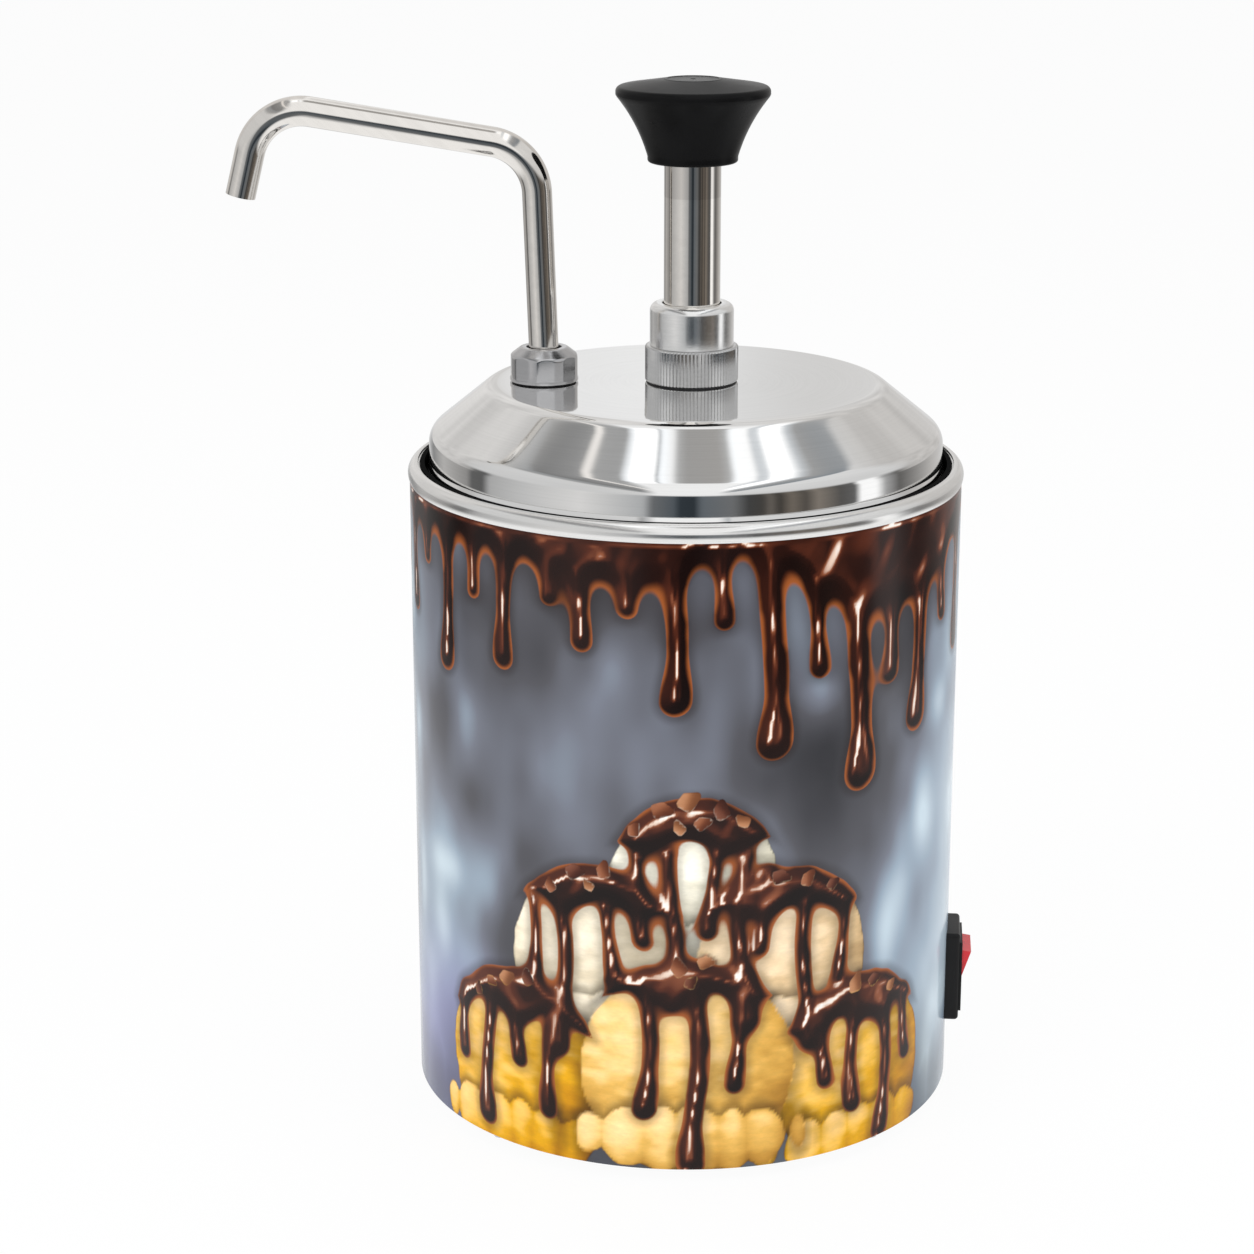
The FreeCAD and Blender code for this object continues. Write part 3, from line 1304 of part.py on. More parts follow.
outlet_rest = "outlet_seat + sqrt(outlet_ball_radius ^ 2 - passage_radius ^ 2) + fit_gap"
outlet_sphere = solid("Part::Sphere", "outlet_sphere", Radius="outlet_ball_radius")
keep(place(outlet_sphere, spout_x, z=outlet_rest), "outlet_ball")

# The discharge riser stands in the foot's outlet socket and ends in the fitting under the lid.
riser_bore = "(spout_radius - spout_wall)"
riser = turned(
    "riser",
    [
        (riser_bore, "outlet_cage_top"),
        ("riser_foot_radius", "outlet_cage_top"),
        ("riser_foot_radius", "riser_foot_top"),
        ("spout_radius", "riser_foot_top"),
        ("spout_radius", "riser_top"),
        (riser_bore, "riser_top"),
    ],
)
at_spout(riser, "discharge_riser")

# The spout fitting passes through the lid: a flange below it, a threaded neck above for the spout nut.
fitting = turned(
    "fitting",
    [
        ("spout_radius + fit_gap", "fitting_base"),
        ("fitting_tail_radius", "fitting_base"),
        ("fitting_tail_radius", "lid_under - fitting_flange_height"),
        ("fitting_flange_radius", "lid_under - fitting_flange_height"),
        ("fitting_flange_radius", "lid_under"),
        ("fitting_radius", "lid_under"),
        ("fitting_radius", "fitting_top"),
        ("spout_radius + fit_gap", "fitting_top"),
        ("spout_radius + fit_gap", "fitting_top - fitting_top_socket"),
        (riser_bore, "fitting_top - fitting_top_socket"),
        (riser_bore, "riser_top"),
        ("spout_radius + fit_gap", "riser_top"),
    ],
)
at_spout(fitting, "spout_fitting")
at_spout(
    sleeve("spout_washer", "fitting_radius + fit_gap", "spout_gasket_radius", "lid_top", "nut_base"),
    "spout_gasket",
)

# The spout nut is a round bar with eight flats above a plain band, a domed shoulder, and a smaller hole
# in its top wall for the tube.
nut_prism = solid("Part::Prism", "nut_prism", Circumradius="spout_nut_corner_reach", Height="spout_nut_height")
nut_prism.Polygon = int(value("spout_nut_flat_count"))
turn(nut_prism, UP, 180 / nut_prism.Polygon)
place(nut_prism, spout_x, z="nut_base")
nut_band = solid("Part::Cylinder", "nut_band", Radius="spout_nut_radius", Height="spout_nut_band_height")
place(nut_band, spout_x, z="nut_base")
nut_blank = boolean("Part::MultiFuse", "nut_blank", nut_prism, [nut_band])
nut_turned = turned(
    "nut_turned",
    [
        ("fitting_radius + fit_gap", "nut_base"),
        ("spout_nut_radius", "nut_base"),
        ("spout_nut_radius", "spout_nut_top - spout_nut_chamfer"),
        ("spout_nut_top_radius", "spout_nut_top"),
        ("spout_nut_hole_radius", "spout_nut_top"),
        ("spout_nut_hole_radius", "spout_nut_under"),
        ("fitting_radius + fit_gap", "spout_nut_under"),
    ],
    [
        ("spout_nut_shoulder_round", [("spout_nut_radius", "spout_nut_top - spout_nut_chamfer")]),
        ("spout_nut_top_round", [("spout_nut_top_radius", "spout_nut_top")]),
    ],
)
place(nut_turned, spout_x)
keep(boolean("Part::MultiCommon", "spout_nut_solid", nut_blank, [nut_turned]), "spout_nut")

# A steel ferrule is brazed on the spout's lower end, and the nut holds it so that the spout can swivel.
at_spout(
    sleeve("ferrule", "spout_radius", "fitting_radius - fit_gap", "ferrule_base", "ferrule_top"),
    "spout_ferrule",
)


def bent_path(corners, radii):
    """Straight runs between the corners, joined by tangent arcs of the given radii."""
    edges = []
    here = corners[0]
    for index, radius in enumerate(radii, 1):
        back = (corners[index - 1] - corners[index]).normalize()
        ahead = (corners[index + 1] - corners[index]).normalize()
        half = back.getAngle(ahead) / 2
        leave = corners[index] + back * (radius / math.tan(half))
        rejoin = corners[index] + ahead * (radius / math.tan(half))
        middle_way = (back + ahead).normalize()
        bulge = corners[index] + middle_way * (radius / math.sin(half) - radius)
        edges.append(Part.LineSegment(here, leave).toShape())
        edges.append(Part.Arc(leave, bulge, rejoin).toShape())
        here = rejoin
    edges.append(Part.LineSegment(here, corners[-1]).toShape())
    return Part.Wire(edges)


# The spout is one bent tube: a riser that leans out a little, a gently rising arm and a short drop.
lean = math.radians(value("spout_lean_angle"))
arm = math.radians(value("spout_arm_angle"))
drop = math.radians(value("spout_drop_angle"))
spout_start = Vector(0, 0, value("spout_base"))
lean_point = Vector(0, 0, value("ferrule_top"))
riser_length = value("spout_rise + spout_nut_top_wall")
riser_corner = lean_point + Vector(-math.sin(lean), 0, math.cos(lean)) * riser_length
arm_corner = riser_corner + Vector(-math.cos(arm), 0, math.sin(arm)) * value("spout_arm")
spout_end = arm_corner + Vector(-math.sin(drop), 0, -math.cos(drop)) * value("spout_drop")
spout_line = bent_path(
    [spout_start, lean_point, riser_corner, arm_corner, spout_end], [value("spout_bend")] * 3
)
spout_shape = tube_along(spout_line, value("spout_radius"), value(riser_bore))
at_spout(shaped("spout", spout_shape), "spout_tube")
print("spout end", spout_end.x - value("spout_offset"), spout_end.z)
for corner in (riser_corner, arm_corner):
    print("spout corner", corner.x - value("spout_offset"), corner.z)

# Six insulated leads join the terminal block, the switch, the thermostats and the element. Each runs from
# one terminal to the next through points chosen by hand, with arcs as large as its runs allow.
bend_share = 0.45
block_way_y = value("block_y - block_width / 4")
block_way_level = value("shell_base + block_height / 2")


def block_way(number):
    """The end of a lead inside one way of the terminal block; the ways are numbered from -1 to 1."""
    return Vector(number * value("block_pitch") - value("block_x"), block_way_y, block_way_level)


def switch_blade(side):
    """The end of a lead at the switch's lower (-1) or upper (1) blade."""
    reach = value(housing_back + " - terminal_reach - soft_gap")
    spot = Vector(reach, 0, value("switch_centre_height") + side * value("terminal_pitch / 2"))
    return side_turn.multVec(spot)


def blade_end(across, side):
    """The end of a lead at a blade of the thermostat (side 1) or the cut-out (side -1)."""
    return Vector(
        across * value("blade_spacing / 2"), side * value("thermostat_offset"),
        value("spreader_base - thermostat_height - blade_length"),
    )


lead_routes = {
    "live_lead": [
        switch_blade(-1), Vector(70, -6.1, 42), Vector(54, 4, 24), Vector(28, 22, 14), Vector(0, 30, 14),
        Vector(-19, 36, 15), block_way(1),
    ],
    "switch_lead": [
        switch_blade(1), Vector(68, -5.9, 57), Vector(52, 2, 42), Vector(26, 15, 32), Vector(4.5, 25.5, 36),
        blade_end(1, 1),
    ],
    "link_lead": [
        blade_end(-1, 1), Vector(-4.5, 25.5, 40), Vector(-10, 0, 32), Vector(-4.5, -25.5, 40), blade_end(-1, -1),
    ],
    "heater_lead": [
        blade_end(1, -1), Vector(4.5, -25.5, 38), Vector(15, -8, 27), Vector(20, 18, 25), Vector(14, 42, 26),
        Vector(element_end_b.x, element_end_b.y, 34), element_end_b,
    ],
    "neutral_lead": [
        block_way(0), Vector(-30, 40, 15), Vector(-26, 32, 28), Vector(-14, 40, 36),
        Vector(element_end_a.x, element_end_a.y, 38), element_end_a,
    ],
    "earth_lead": [
        block_way(-1), Vector(-41, 38, 15), Vector(-30, 18, 18), Vector(-8, 4, 26), Vector(0, 0, 38),
        Vector(0, 0, value("well_base - stud_length")),
    ],
}
for label, points in lead_routes.items():
    bends = []
    for before, here, after in zip(points, points[1:], points[2:]):
        half_turn = (here - before).getAngle(after - here) / 2
        shorter = min((here - before).Length, (after - here).Length)
        bends.append(bend_share * shorter / math.tan(half_turn))
    lead_path = bent_path(points, bends)
    print(label, "length %.0f, bends" % lead_path.Length, [round(bend, 1) for bend in bends])
    keep(shaped(label + "_wire", tube_along(lead_path, value("lead_radius"))), label)

# Every object has to be up to date, and every piece a whole valid shape, before any file is written.
doc.recompute()
for thing in doc.Objects:
    if "Invalid" in thing.State or "Error" in thing.State:
        raise RuntimeError("%s did not build: %s" % (thing.Label, thing.State))
for piece in nodes:
    if piece.Shape.isNull() or not piece.Shape.isValid():
        raise RuntimeError(piece.Label + " is not a valid shape")
os.makedirs("parts", exist_ok=True)
for piece in nodes:
    piece.Shape.exportStep("parts/%s.step" % piece.Label)
print(len(nodes), "pieces written")
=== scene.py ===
import math

import bpy
import numpy as np
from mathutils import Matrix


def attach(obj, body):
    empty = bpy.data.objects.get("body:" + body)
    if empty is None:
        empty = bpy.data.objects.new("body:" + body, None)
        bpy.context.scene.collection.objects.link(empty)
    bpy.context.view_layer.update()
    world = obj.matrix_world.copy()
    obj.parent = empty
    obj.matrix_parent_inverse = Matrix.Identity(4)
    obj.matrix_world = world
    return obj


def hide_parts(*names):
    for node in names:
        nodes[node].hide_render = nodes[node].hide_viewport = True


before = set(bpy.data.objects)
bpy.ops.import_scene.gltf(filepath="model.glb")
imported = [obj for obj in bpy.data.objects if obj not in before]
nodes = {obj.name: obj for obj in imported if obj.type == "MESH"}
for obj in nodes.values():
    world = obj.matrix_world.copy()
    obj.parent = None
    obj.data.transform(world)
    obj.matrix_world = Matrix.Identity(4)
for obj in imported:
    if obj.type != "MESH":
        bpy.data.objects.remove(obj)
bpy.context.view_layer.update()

# Camera: a long lens a little above the knob, looking down on the lid, level from side to side.
camera_data = bpy.data.cameras.new("camera")
camera_data.sensor_width = 36.0
camera_data.lens = 87.9
camera = bpy.data.objects.new("camera", camera_data)
camera.location = (-0.024183, -1.2358, 0.56345)
camera.rotation_euler = (math.radians(73.626), 0.0, 0.0)
bpy.context.scene.collection.objects.link(camera)
bpy.context.scene.camera = camera
bpy.context.scene.view_settings.view_transform = "Standard"


# Studio: a white room with soft light from all round. Polished steel sees the room's panels: a light
# wall behind, grey and brown ones at the sides and in front, bright strips and a softbox overhead.
def put(tree, kind, sockets=None, **settings):
    """Adds one shader node. Sockets are given by name or number, each with a value or a link."""
    node = tree.nodes.new("ShaderNode" + kind)
    for name, content in settings.items():
        setattr(node, name, content)
    for key, content in (sockets or {}).items():
        if isinstance(content, bpy.types.NodeSocket):
            tree.links.new(content, node.inputs[key])
        else:
            node.inputs[key].default_value = content
    return node


def ramp(tree, factor, stops):
    """A colour ramp with the given (place, colour) stops; a colour is three numbers."""
    node = put(tree, "ValToRGB", {0: factor})
    while len(node.color_ramp.elements) < len(stops):
        node.color_ramp.elements.new(0.5)
    for element, (spot, colour) in zip(node.color_ramp.elements, stops):
        element.position = spot
        element.color = (*colour, 1.0)
    return node.outputs["Color"]


def grey(level, warm=0.0):
    """A grey of the given brightness, tinted brown for a positive warmth and blue for a negative one."""
    return (level * (1 + warm), level, level * (1 - warm))


def maths(tree, operation, *values):
    """The result of one Math node."""
    return put(tree, "Math", dict(enumerate(values)), operation=operation).outputs[0]


def stretch(tree, source, low, high, start=0.0, end=1.0, kind="SMOOTHSTEP"):
    """Maps a value between two bounds to a range from start to end."""
    sockets = {0: source, 1: low, 2: high, 3: start, 4: end}
    return put(tree, "MapRange", sockets, interpolation_type=kind).outputs[0]


def blend_colours(tree, share, first, second):
    """Mixes two colours by a share from 0 to 1."""
    return put(tree, "Mix", {0: share, 6: first, 7: second}, data_type="RGBA").outputs[2]


def bearing_of(tree, axes):
    """The bearing round the upright axis from 0 to 1, with the front at 0.5 and the right at 0.75."""
    toward = maths(tree, "MULTIPLY", axes.outputs["Y"], -1.0)
    return stretch(tree, maths(tree, "ARCTAN2", axes.outputs["X"], toward), -math.pi, math.pi, kind="LINEAR")


world = bpy.data.worlds.new("studio")
world.use_nodes = True
bpy.context.scene.world = world
room = world.node_tree
room.nodes.clear()
way = put(room, "TexCoord").outputs["Generated"]
axes = put(room, "SeparateXYZ", {0: way})
BACKGROUND = (0.985, 0.985, 0.985, 1.0)
PANEL_WHITE = (0.92, 0.92, 0.92, 1.0)
WALL_BANDS = [
    (0.00, grey(0.80)), (0.040, grey(0.70)), (0.085, grey(0.25)), (0.130, grey(0.45, 0.02)),
    (0.195, grey(0.28, 0.02)), (0.207, grey(0.12)), (0.228, grey(0.11)), (0.241, grey(0.42)),
    (0.300, grey(0.55)), (0.370, grey(0.70, 0.01)), (0.448, grey(0.44, -0.02)), (0.459, grey(0.15, -0.04)),
    (0.484, grey(0.10, -0.14)), (0.491, grey(0.04, -0.2)), (0.508, grey(0.036, -0.2)), (0.517, grey(0.14, -0.12)),
    (0.552, grey(0.16, -0.03)), (0.570, grey(0.055)), (0.588, grey(0.055, 0.08)), (0.596, grey(0.12, 0.12)),
    (0.608, grey(0.045, 0.1)), (0.623, grey(0.14, 0.16)), (0.640, grey(0.075, 0.12)), (0.656, grey(0.19, 0.14)),
    (0.688, grey(0.09, 0.04)), (0.712, grey(0.12)), (0.722, grey(1.05)), (0.748, grey(1.05)),
    (0.764, grey(0.38)), (0.790, grey(0.12, 0.03)), (0.880, grey(0.48, 0.03)), (1.00, grey(0.80)),
]
walls = ramp(room, bearing_of(room, axes), WALL_BANDS)
lean = maths(room, "ARCTAN2", axes.outputs["X"], axes.outputs["Z"])
ceiling = ramp(room, stretch(room, lean, -math.pi / 2, math.pi / 2, kind="LINEAR"), [
    (0.00, grey(0.62)), (0.262, grey(0.66)), (0.284, grey(0.33)), (0.302, grey(0.33, -0.03)), (0.313, grey(0.21)),
    (0.355, grey(0.29)), (0.364, grey(0.32)), (0.369, grey(0.95, 0.04)), (0.374, grey(0.90, 0.04)),
    (0.380, grey(0.38)), (0.410, grey(0.36)), (0.418, grey(0.90, -0.03)), (0.428, grey(1.35)), (0.455, grey(1.35)),
    (0.4605, grey(0.45, -0.04)), (0.466, grey(1.15, -0.03)), (0.482, grey(0.95)), (0.490, grey(0.45)),
    (0.503, grey(0.35, 0.02)), (0.548, grey(0.36, 0.03)), (0.560, grey(0.45)), (0.568, grey(1.15, -0.02)),
    (0.590, grey(1.10)), (0.597, grey(0.66, -0.04)), (0.607, grey(0.72, -0.04)), (0.613, grey(1.35)),
    (0.634, grey(1.35)), (0.648, grey(0.62, -0.04)), (0.660, grey(0.36)), (0.700, grey(0.26, -0.10)),
    (0.711, grey(0.74)), (1.00, grey(0.62)),
])
off_middle = maths(room, "ABSOLUTE", maths(room, "ADD", axes.outputs["Y"], 0.03))
off_middle = stretch(room, off_middle, 0.12, 0.20)
not_aside = stretch(room, maths(room, "ABSOLUTE", axes.outputs["X"]), 0.34, 0.20)
softbox = maths(room, "MULTIPLY", off_middle, not_aside)
overhead = blend_colours(room, softbox, ceiling, PANEL_WHITE)
panels = blend_colours(room, stretch(room, axes.outputs["Z"], 0.03, 0.20), walls, overhead)
behind = stretch(room, axes.outputs["Y"], 0.20, 0.55)
backdrop_tone = ramp(room, stretch(room, axes.outputs["X"], -1.0, 1.0, kind="LINEAR"), [
    (0.00, grey(0.52, 0.02)), (0.25, grey(0.66, 0.02)), (0.42, grey(0.70, 0.02)), (0.472, grey(0.64, 0.02)),
    (0.489, grey(0.86)), (0.503, grey(0.90)), (0.513, grey(0.82)), (0.530, grey(0.70, 0.01)),
    (0.62, grey(0.66, 0.02)), (0.75, grey(0.56, 0.03)), (1.00, grey(0.52, 0.03)),
])
clouds = put(room, "TexNoise", {"Vector": way, "Scale": 6.0, "Detail": 2.0}).outputs[0]
clouds = stretch(room, clouds, 0.3, 0.7, 0.88, 1.12, "LINEAR")
backdrop_tone = put(room, "VectorMath", {0: backdrop_tone, 1: clouds}, operation="MULTIPLY").outputs[0]
seen_in_steel = blend_colours(room, behind, panels, backdrop_tone)
path = put(room, "LightPath")
ambient = put(room, "Background", {0: (0.96, 0.98, 1.0, 1.0), 1: 0.62})
reflected = put(room, "Background", {0: seen_in_steel, 1: 1.0})
shown = put(room, "Background", {0: BACKGROUND, 1: 1.0})
first = put(room, "MixShader", {0: path.outputs["Is Glossy Ray"], 1: ambient.outputs[0], 2: reflected.outputs[0]})
second = put(room, "MixShader", {0: path.outputs["Is Camera Ray"], 1: first.outputs[0], 2: shown.outputs[0]})
room.links.new(second.outputs[0], put(room, "OutputWorld").inputs["Surface"])

for lamp_name, spot, size, power, colour in (
    ("key_softbox", (-1.1, -1.3, 1.5), 1.2, 17.0, (1.0, 0.985, 0.96)),
    ("fill_softbox", (1.3, -0.9, 1.1), 1.2, 9.0, (0.96, 0.98, 1.0)),
    ("top_softbox", (0.1, 0.3, 1.9), 1.6, 12.0, (1.0, 1.0, 1.0)),
):
    lamp_data = bpy.data.lights.new(lamp_name, "AREA")
    lamp_data.shape = "SQUARE"
    lamp_data.size = size
    lamp_data.energy = power
    lamp_data.color = colour
    lamp = bpy.data.objects.new(lamp_name, lamp_data)
    aim = np.array([0.0, 0.0, 0.2]) - np.array(spot)
    lamp.location = spot
    tilt = math.atan2(math.hypot(aim[0], aim[1]), -aim[2])
    lamp.rotation_euler = (tilt, 0.0, math.atan2(aim[1], aim[0]) - math.pi / 2)
    lamp.visible_glossy = False
    lamp.visible_camera = False
    bpy.context.scene.collection.objects.link(lamp)

floor_mesh = bpy.data.meshes.new("floor")
floor_mesh.from_pydata([(-6, -6, 0), (6, -6, 0), (6, 6, 0), (-6, 6, 0)], [], [(0, 1, 2, 3)])
floor = bpy.data.objects.new("floor", floor_mesh)
bpy.context.scene.collection.objects.link(floor)
floor_paint = bpy.data.materials.new("pale_floor")
floor_paint.use_nodes = True
sweep = floor_paint.node_tree
sweep.nodes.clear()
floor_path = put(sweep, "LightPath")
matt = put(sweep, "BsdfDiffuse", {0: (0.86, 0.86, 0.86, 1.0)})
floor_spot = put(sweep, "TexCoord").outputs["Object"]
floor_bands = ramp(sweep, bearing_of(sweep, put(sweep, "SeparateXYZ", {0: floor_spot})), WALL_BANDS)
floor_reach = put(sweep, "VectorMath", {0: floor_spot}, operation="LENGTH").outputs["Value"]
floor_bands = blend_colours(sweep, stretch(sweep, floor_reach, 0.45, 0.85), PANEL_WHITE, floor_bands)
bands = put(sweep, "Emission", {0: floor_bands, 1: 1.0})
faint = put(sweep, "BsdfDiffuse", {0: (0.05, 0.05, 0.05, 1.0)})
glow = put(sweep, "Emission", {0: BACKGROUND, 1: 0.955})
lit = put(sweep, "AddShader", {0: faint.outputs[0], 1: glow.outputs[0]})
in_steel, in_camera = floor_path.outputs["Is Glossy Ray"], floor_path.outputs["Is Camera Ray"]
mirrored = put(sweep, "MixShader", {0: in_steel, 1: matt.outputs[0], 2: bands.outputs[0]})
direct = put(sweep, "MixShader", {0: in_camera, 1: mirrored.outputs[0], 2: lit.outputs[0]})
sweep.links.new(direct.outputs[0], put(sweep, "OutputMaterial").inputs["Surface"])
floor.data.materials.append(floor_paint)


# Printed film: a laminated picture wrapped once round the cabinet, with its seam at the back. The print
# is a dessert scene: ice cream scoops under chocolate sauce, a chocolate curtain, and a blurred wall.
MM = 0.001
FILM_RADIUS = 114.0
FILM_WALL = 0.28
FILM_BASE, FILM_TOP = 6.0, 266.6
GIRTH = 2 * math.pi * FILM_RADIUS
FAR = 60.0  # the distance to a form before any is laid
SAUCE_SLOPE = 5.5  # the sauce rises over this width from its edge


def build(name, points, faces, body, replaced, material, sharp=35.0):
    """Makes one piece from points in millimetres and its faces, turned outwards, and gives it its body."""
    mesh = bpy.data.meshes.new(name)
    points = np.asarray(points, float)
    faces = [list(face) for face in faces]
    fan = np.array([(f[0], f[i], f[i + 1]) for f in faces for i in range(1, len(f) - 1)])
    a, b, c = (points[fan[:, i]] - points.mean(0) for i in range(3))
    if np.einsum("ij,ij->i", a, np.cross(b, c)).sum() < 0:
        faces = [face[::-1] for face in faces]
    mesh.from_pydata((points * MM).tolist(), [], faces)
    mesh.polygons.foreach_set("use_smooth", np.ones(len(mesh.polygons), bool))
    mesh.set_sharp_from_angle(angle=math.radians(sharp))
    mesh.update()
    piece = bpy.data.objects.new(name, mesh)
    bpy.context.scene.collection.objects.link(piece)
    mesh.materials.append(material)
    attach(piece, body)
    if replaced:
        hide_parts(*replaced)
    return piece


def loop_faces(rows, columns):
    """Quads of a grid that closes both ways, row after row."""
    i, j = np.meshgrid(np.arange(rows), np.arange(columns), indexing="ij")
    here, down, right = i * columns, (i + 1) % rows * columns, (j + 1) % columns
    return np.stack([here + j, here + right, down + right, down + j], -1).reshape(-1, 4)


def noise_field(u, v, cell, seed):
    """Smooth value noise: random numbers on a lattice of the given cell, joined by cubic steps.
    The lattice closes round the cabinet, so the field has no seam."""
    around = max(3, round(GIRTH / cell))
    table = np.random.default_rng(seed).random((around, 64))
    x, y = (u / GIRTH) % 1 * around, v / cell + 8
    ix, iy = np.floor(x).astype(int), np.floor(y).astype(int)
    fx, fy = x - ix, y - iy
    fx, fy = fx * fx * (3 - 2 * fx), fy * fy * (3 - 2 * fy)
    low = table[ix % around, iy % 64] * (1 - fx) + table[(ix + 1) % around, iy % 64] * fx
    high = table[ix % around, (iy + 1) % 64] * (1 - fx) + table[(ix + 1) % around, (iy + 1) % 64] * fx
    return low * (1 - fy) + high * fy


def soft_min(a, b, width):
    """The lesser of two distances, with the corner between them rounded over the given width."""
    share = np.clip(0.5 + 0.5 * (b - a) / width, 0, 1)
    return b * (1 - share) + a * share - width * share * (1 - share)


def step(low, high, x):
    """A smooth step from 0 at low to 1 at high."""
    t = np.clip((x - low) / (high - low), 0, 1)
    return t * t * (3 - 2 * t)


def tone(red, green, blue):
    """A colour given as it looks on a screen, from 0 to 255, as linear light."""
    c = np.array([red, green, blue], float) / 255
    return np.where(c <= 0.04045, c / 12.92, ((c + 0.055) / 1.055) ** 2.4)


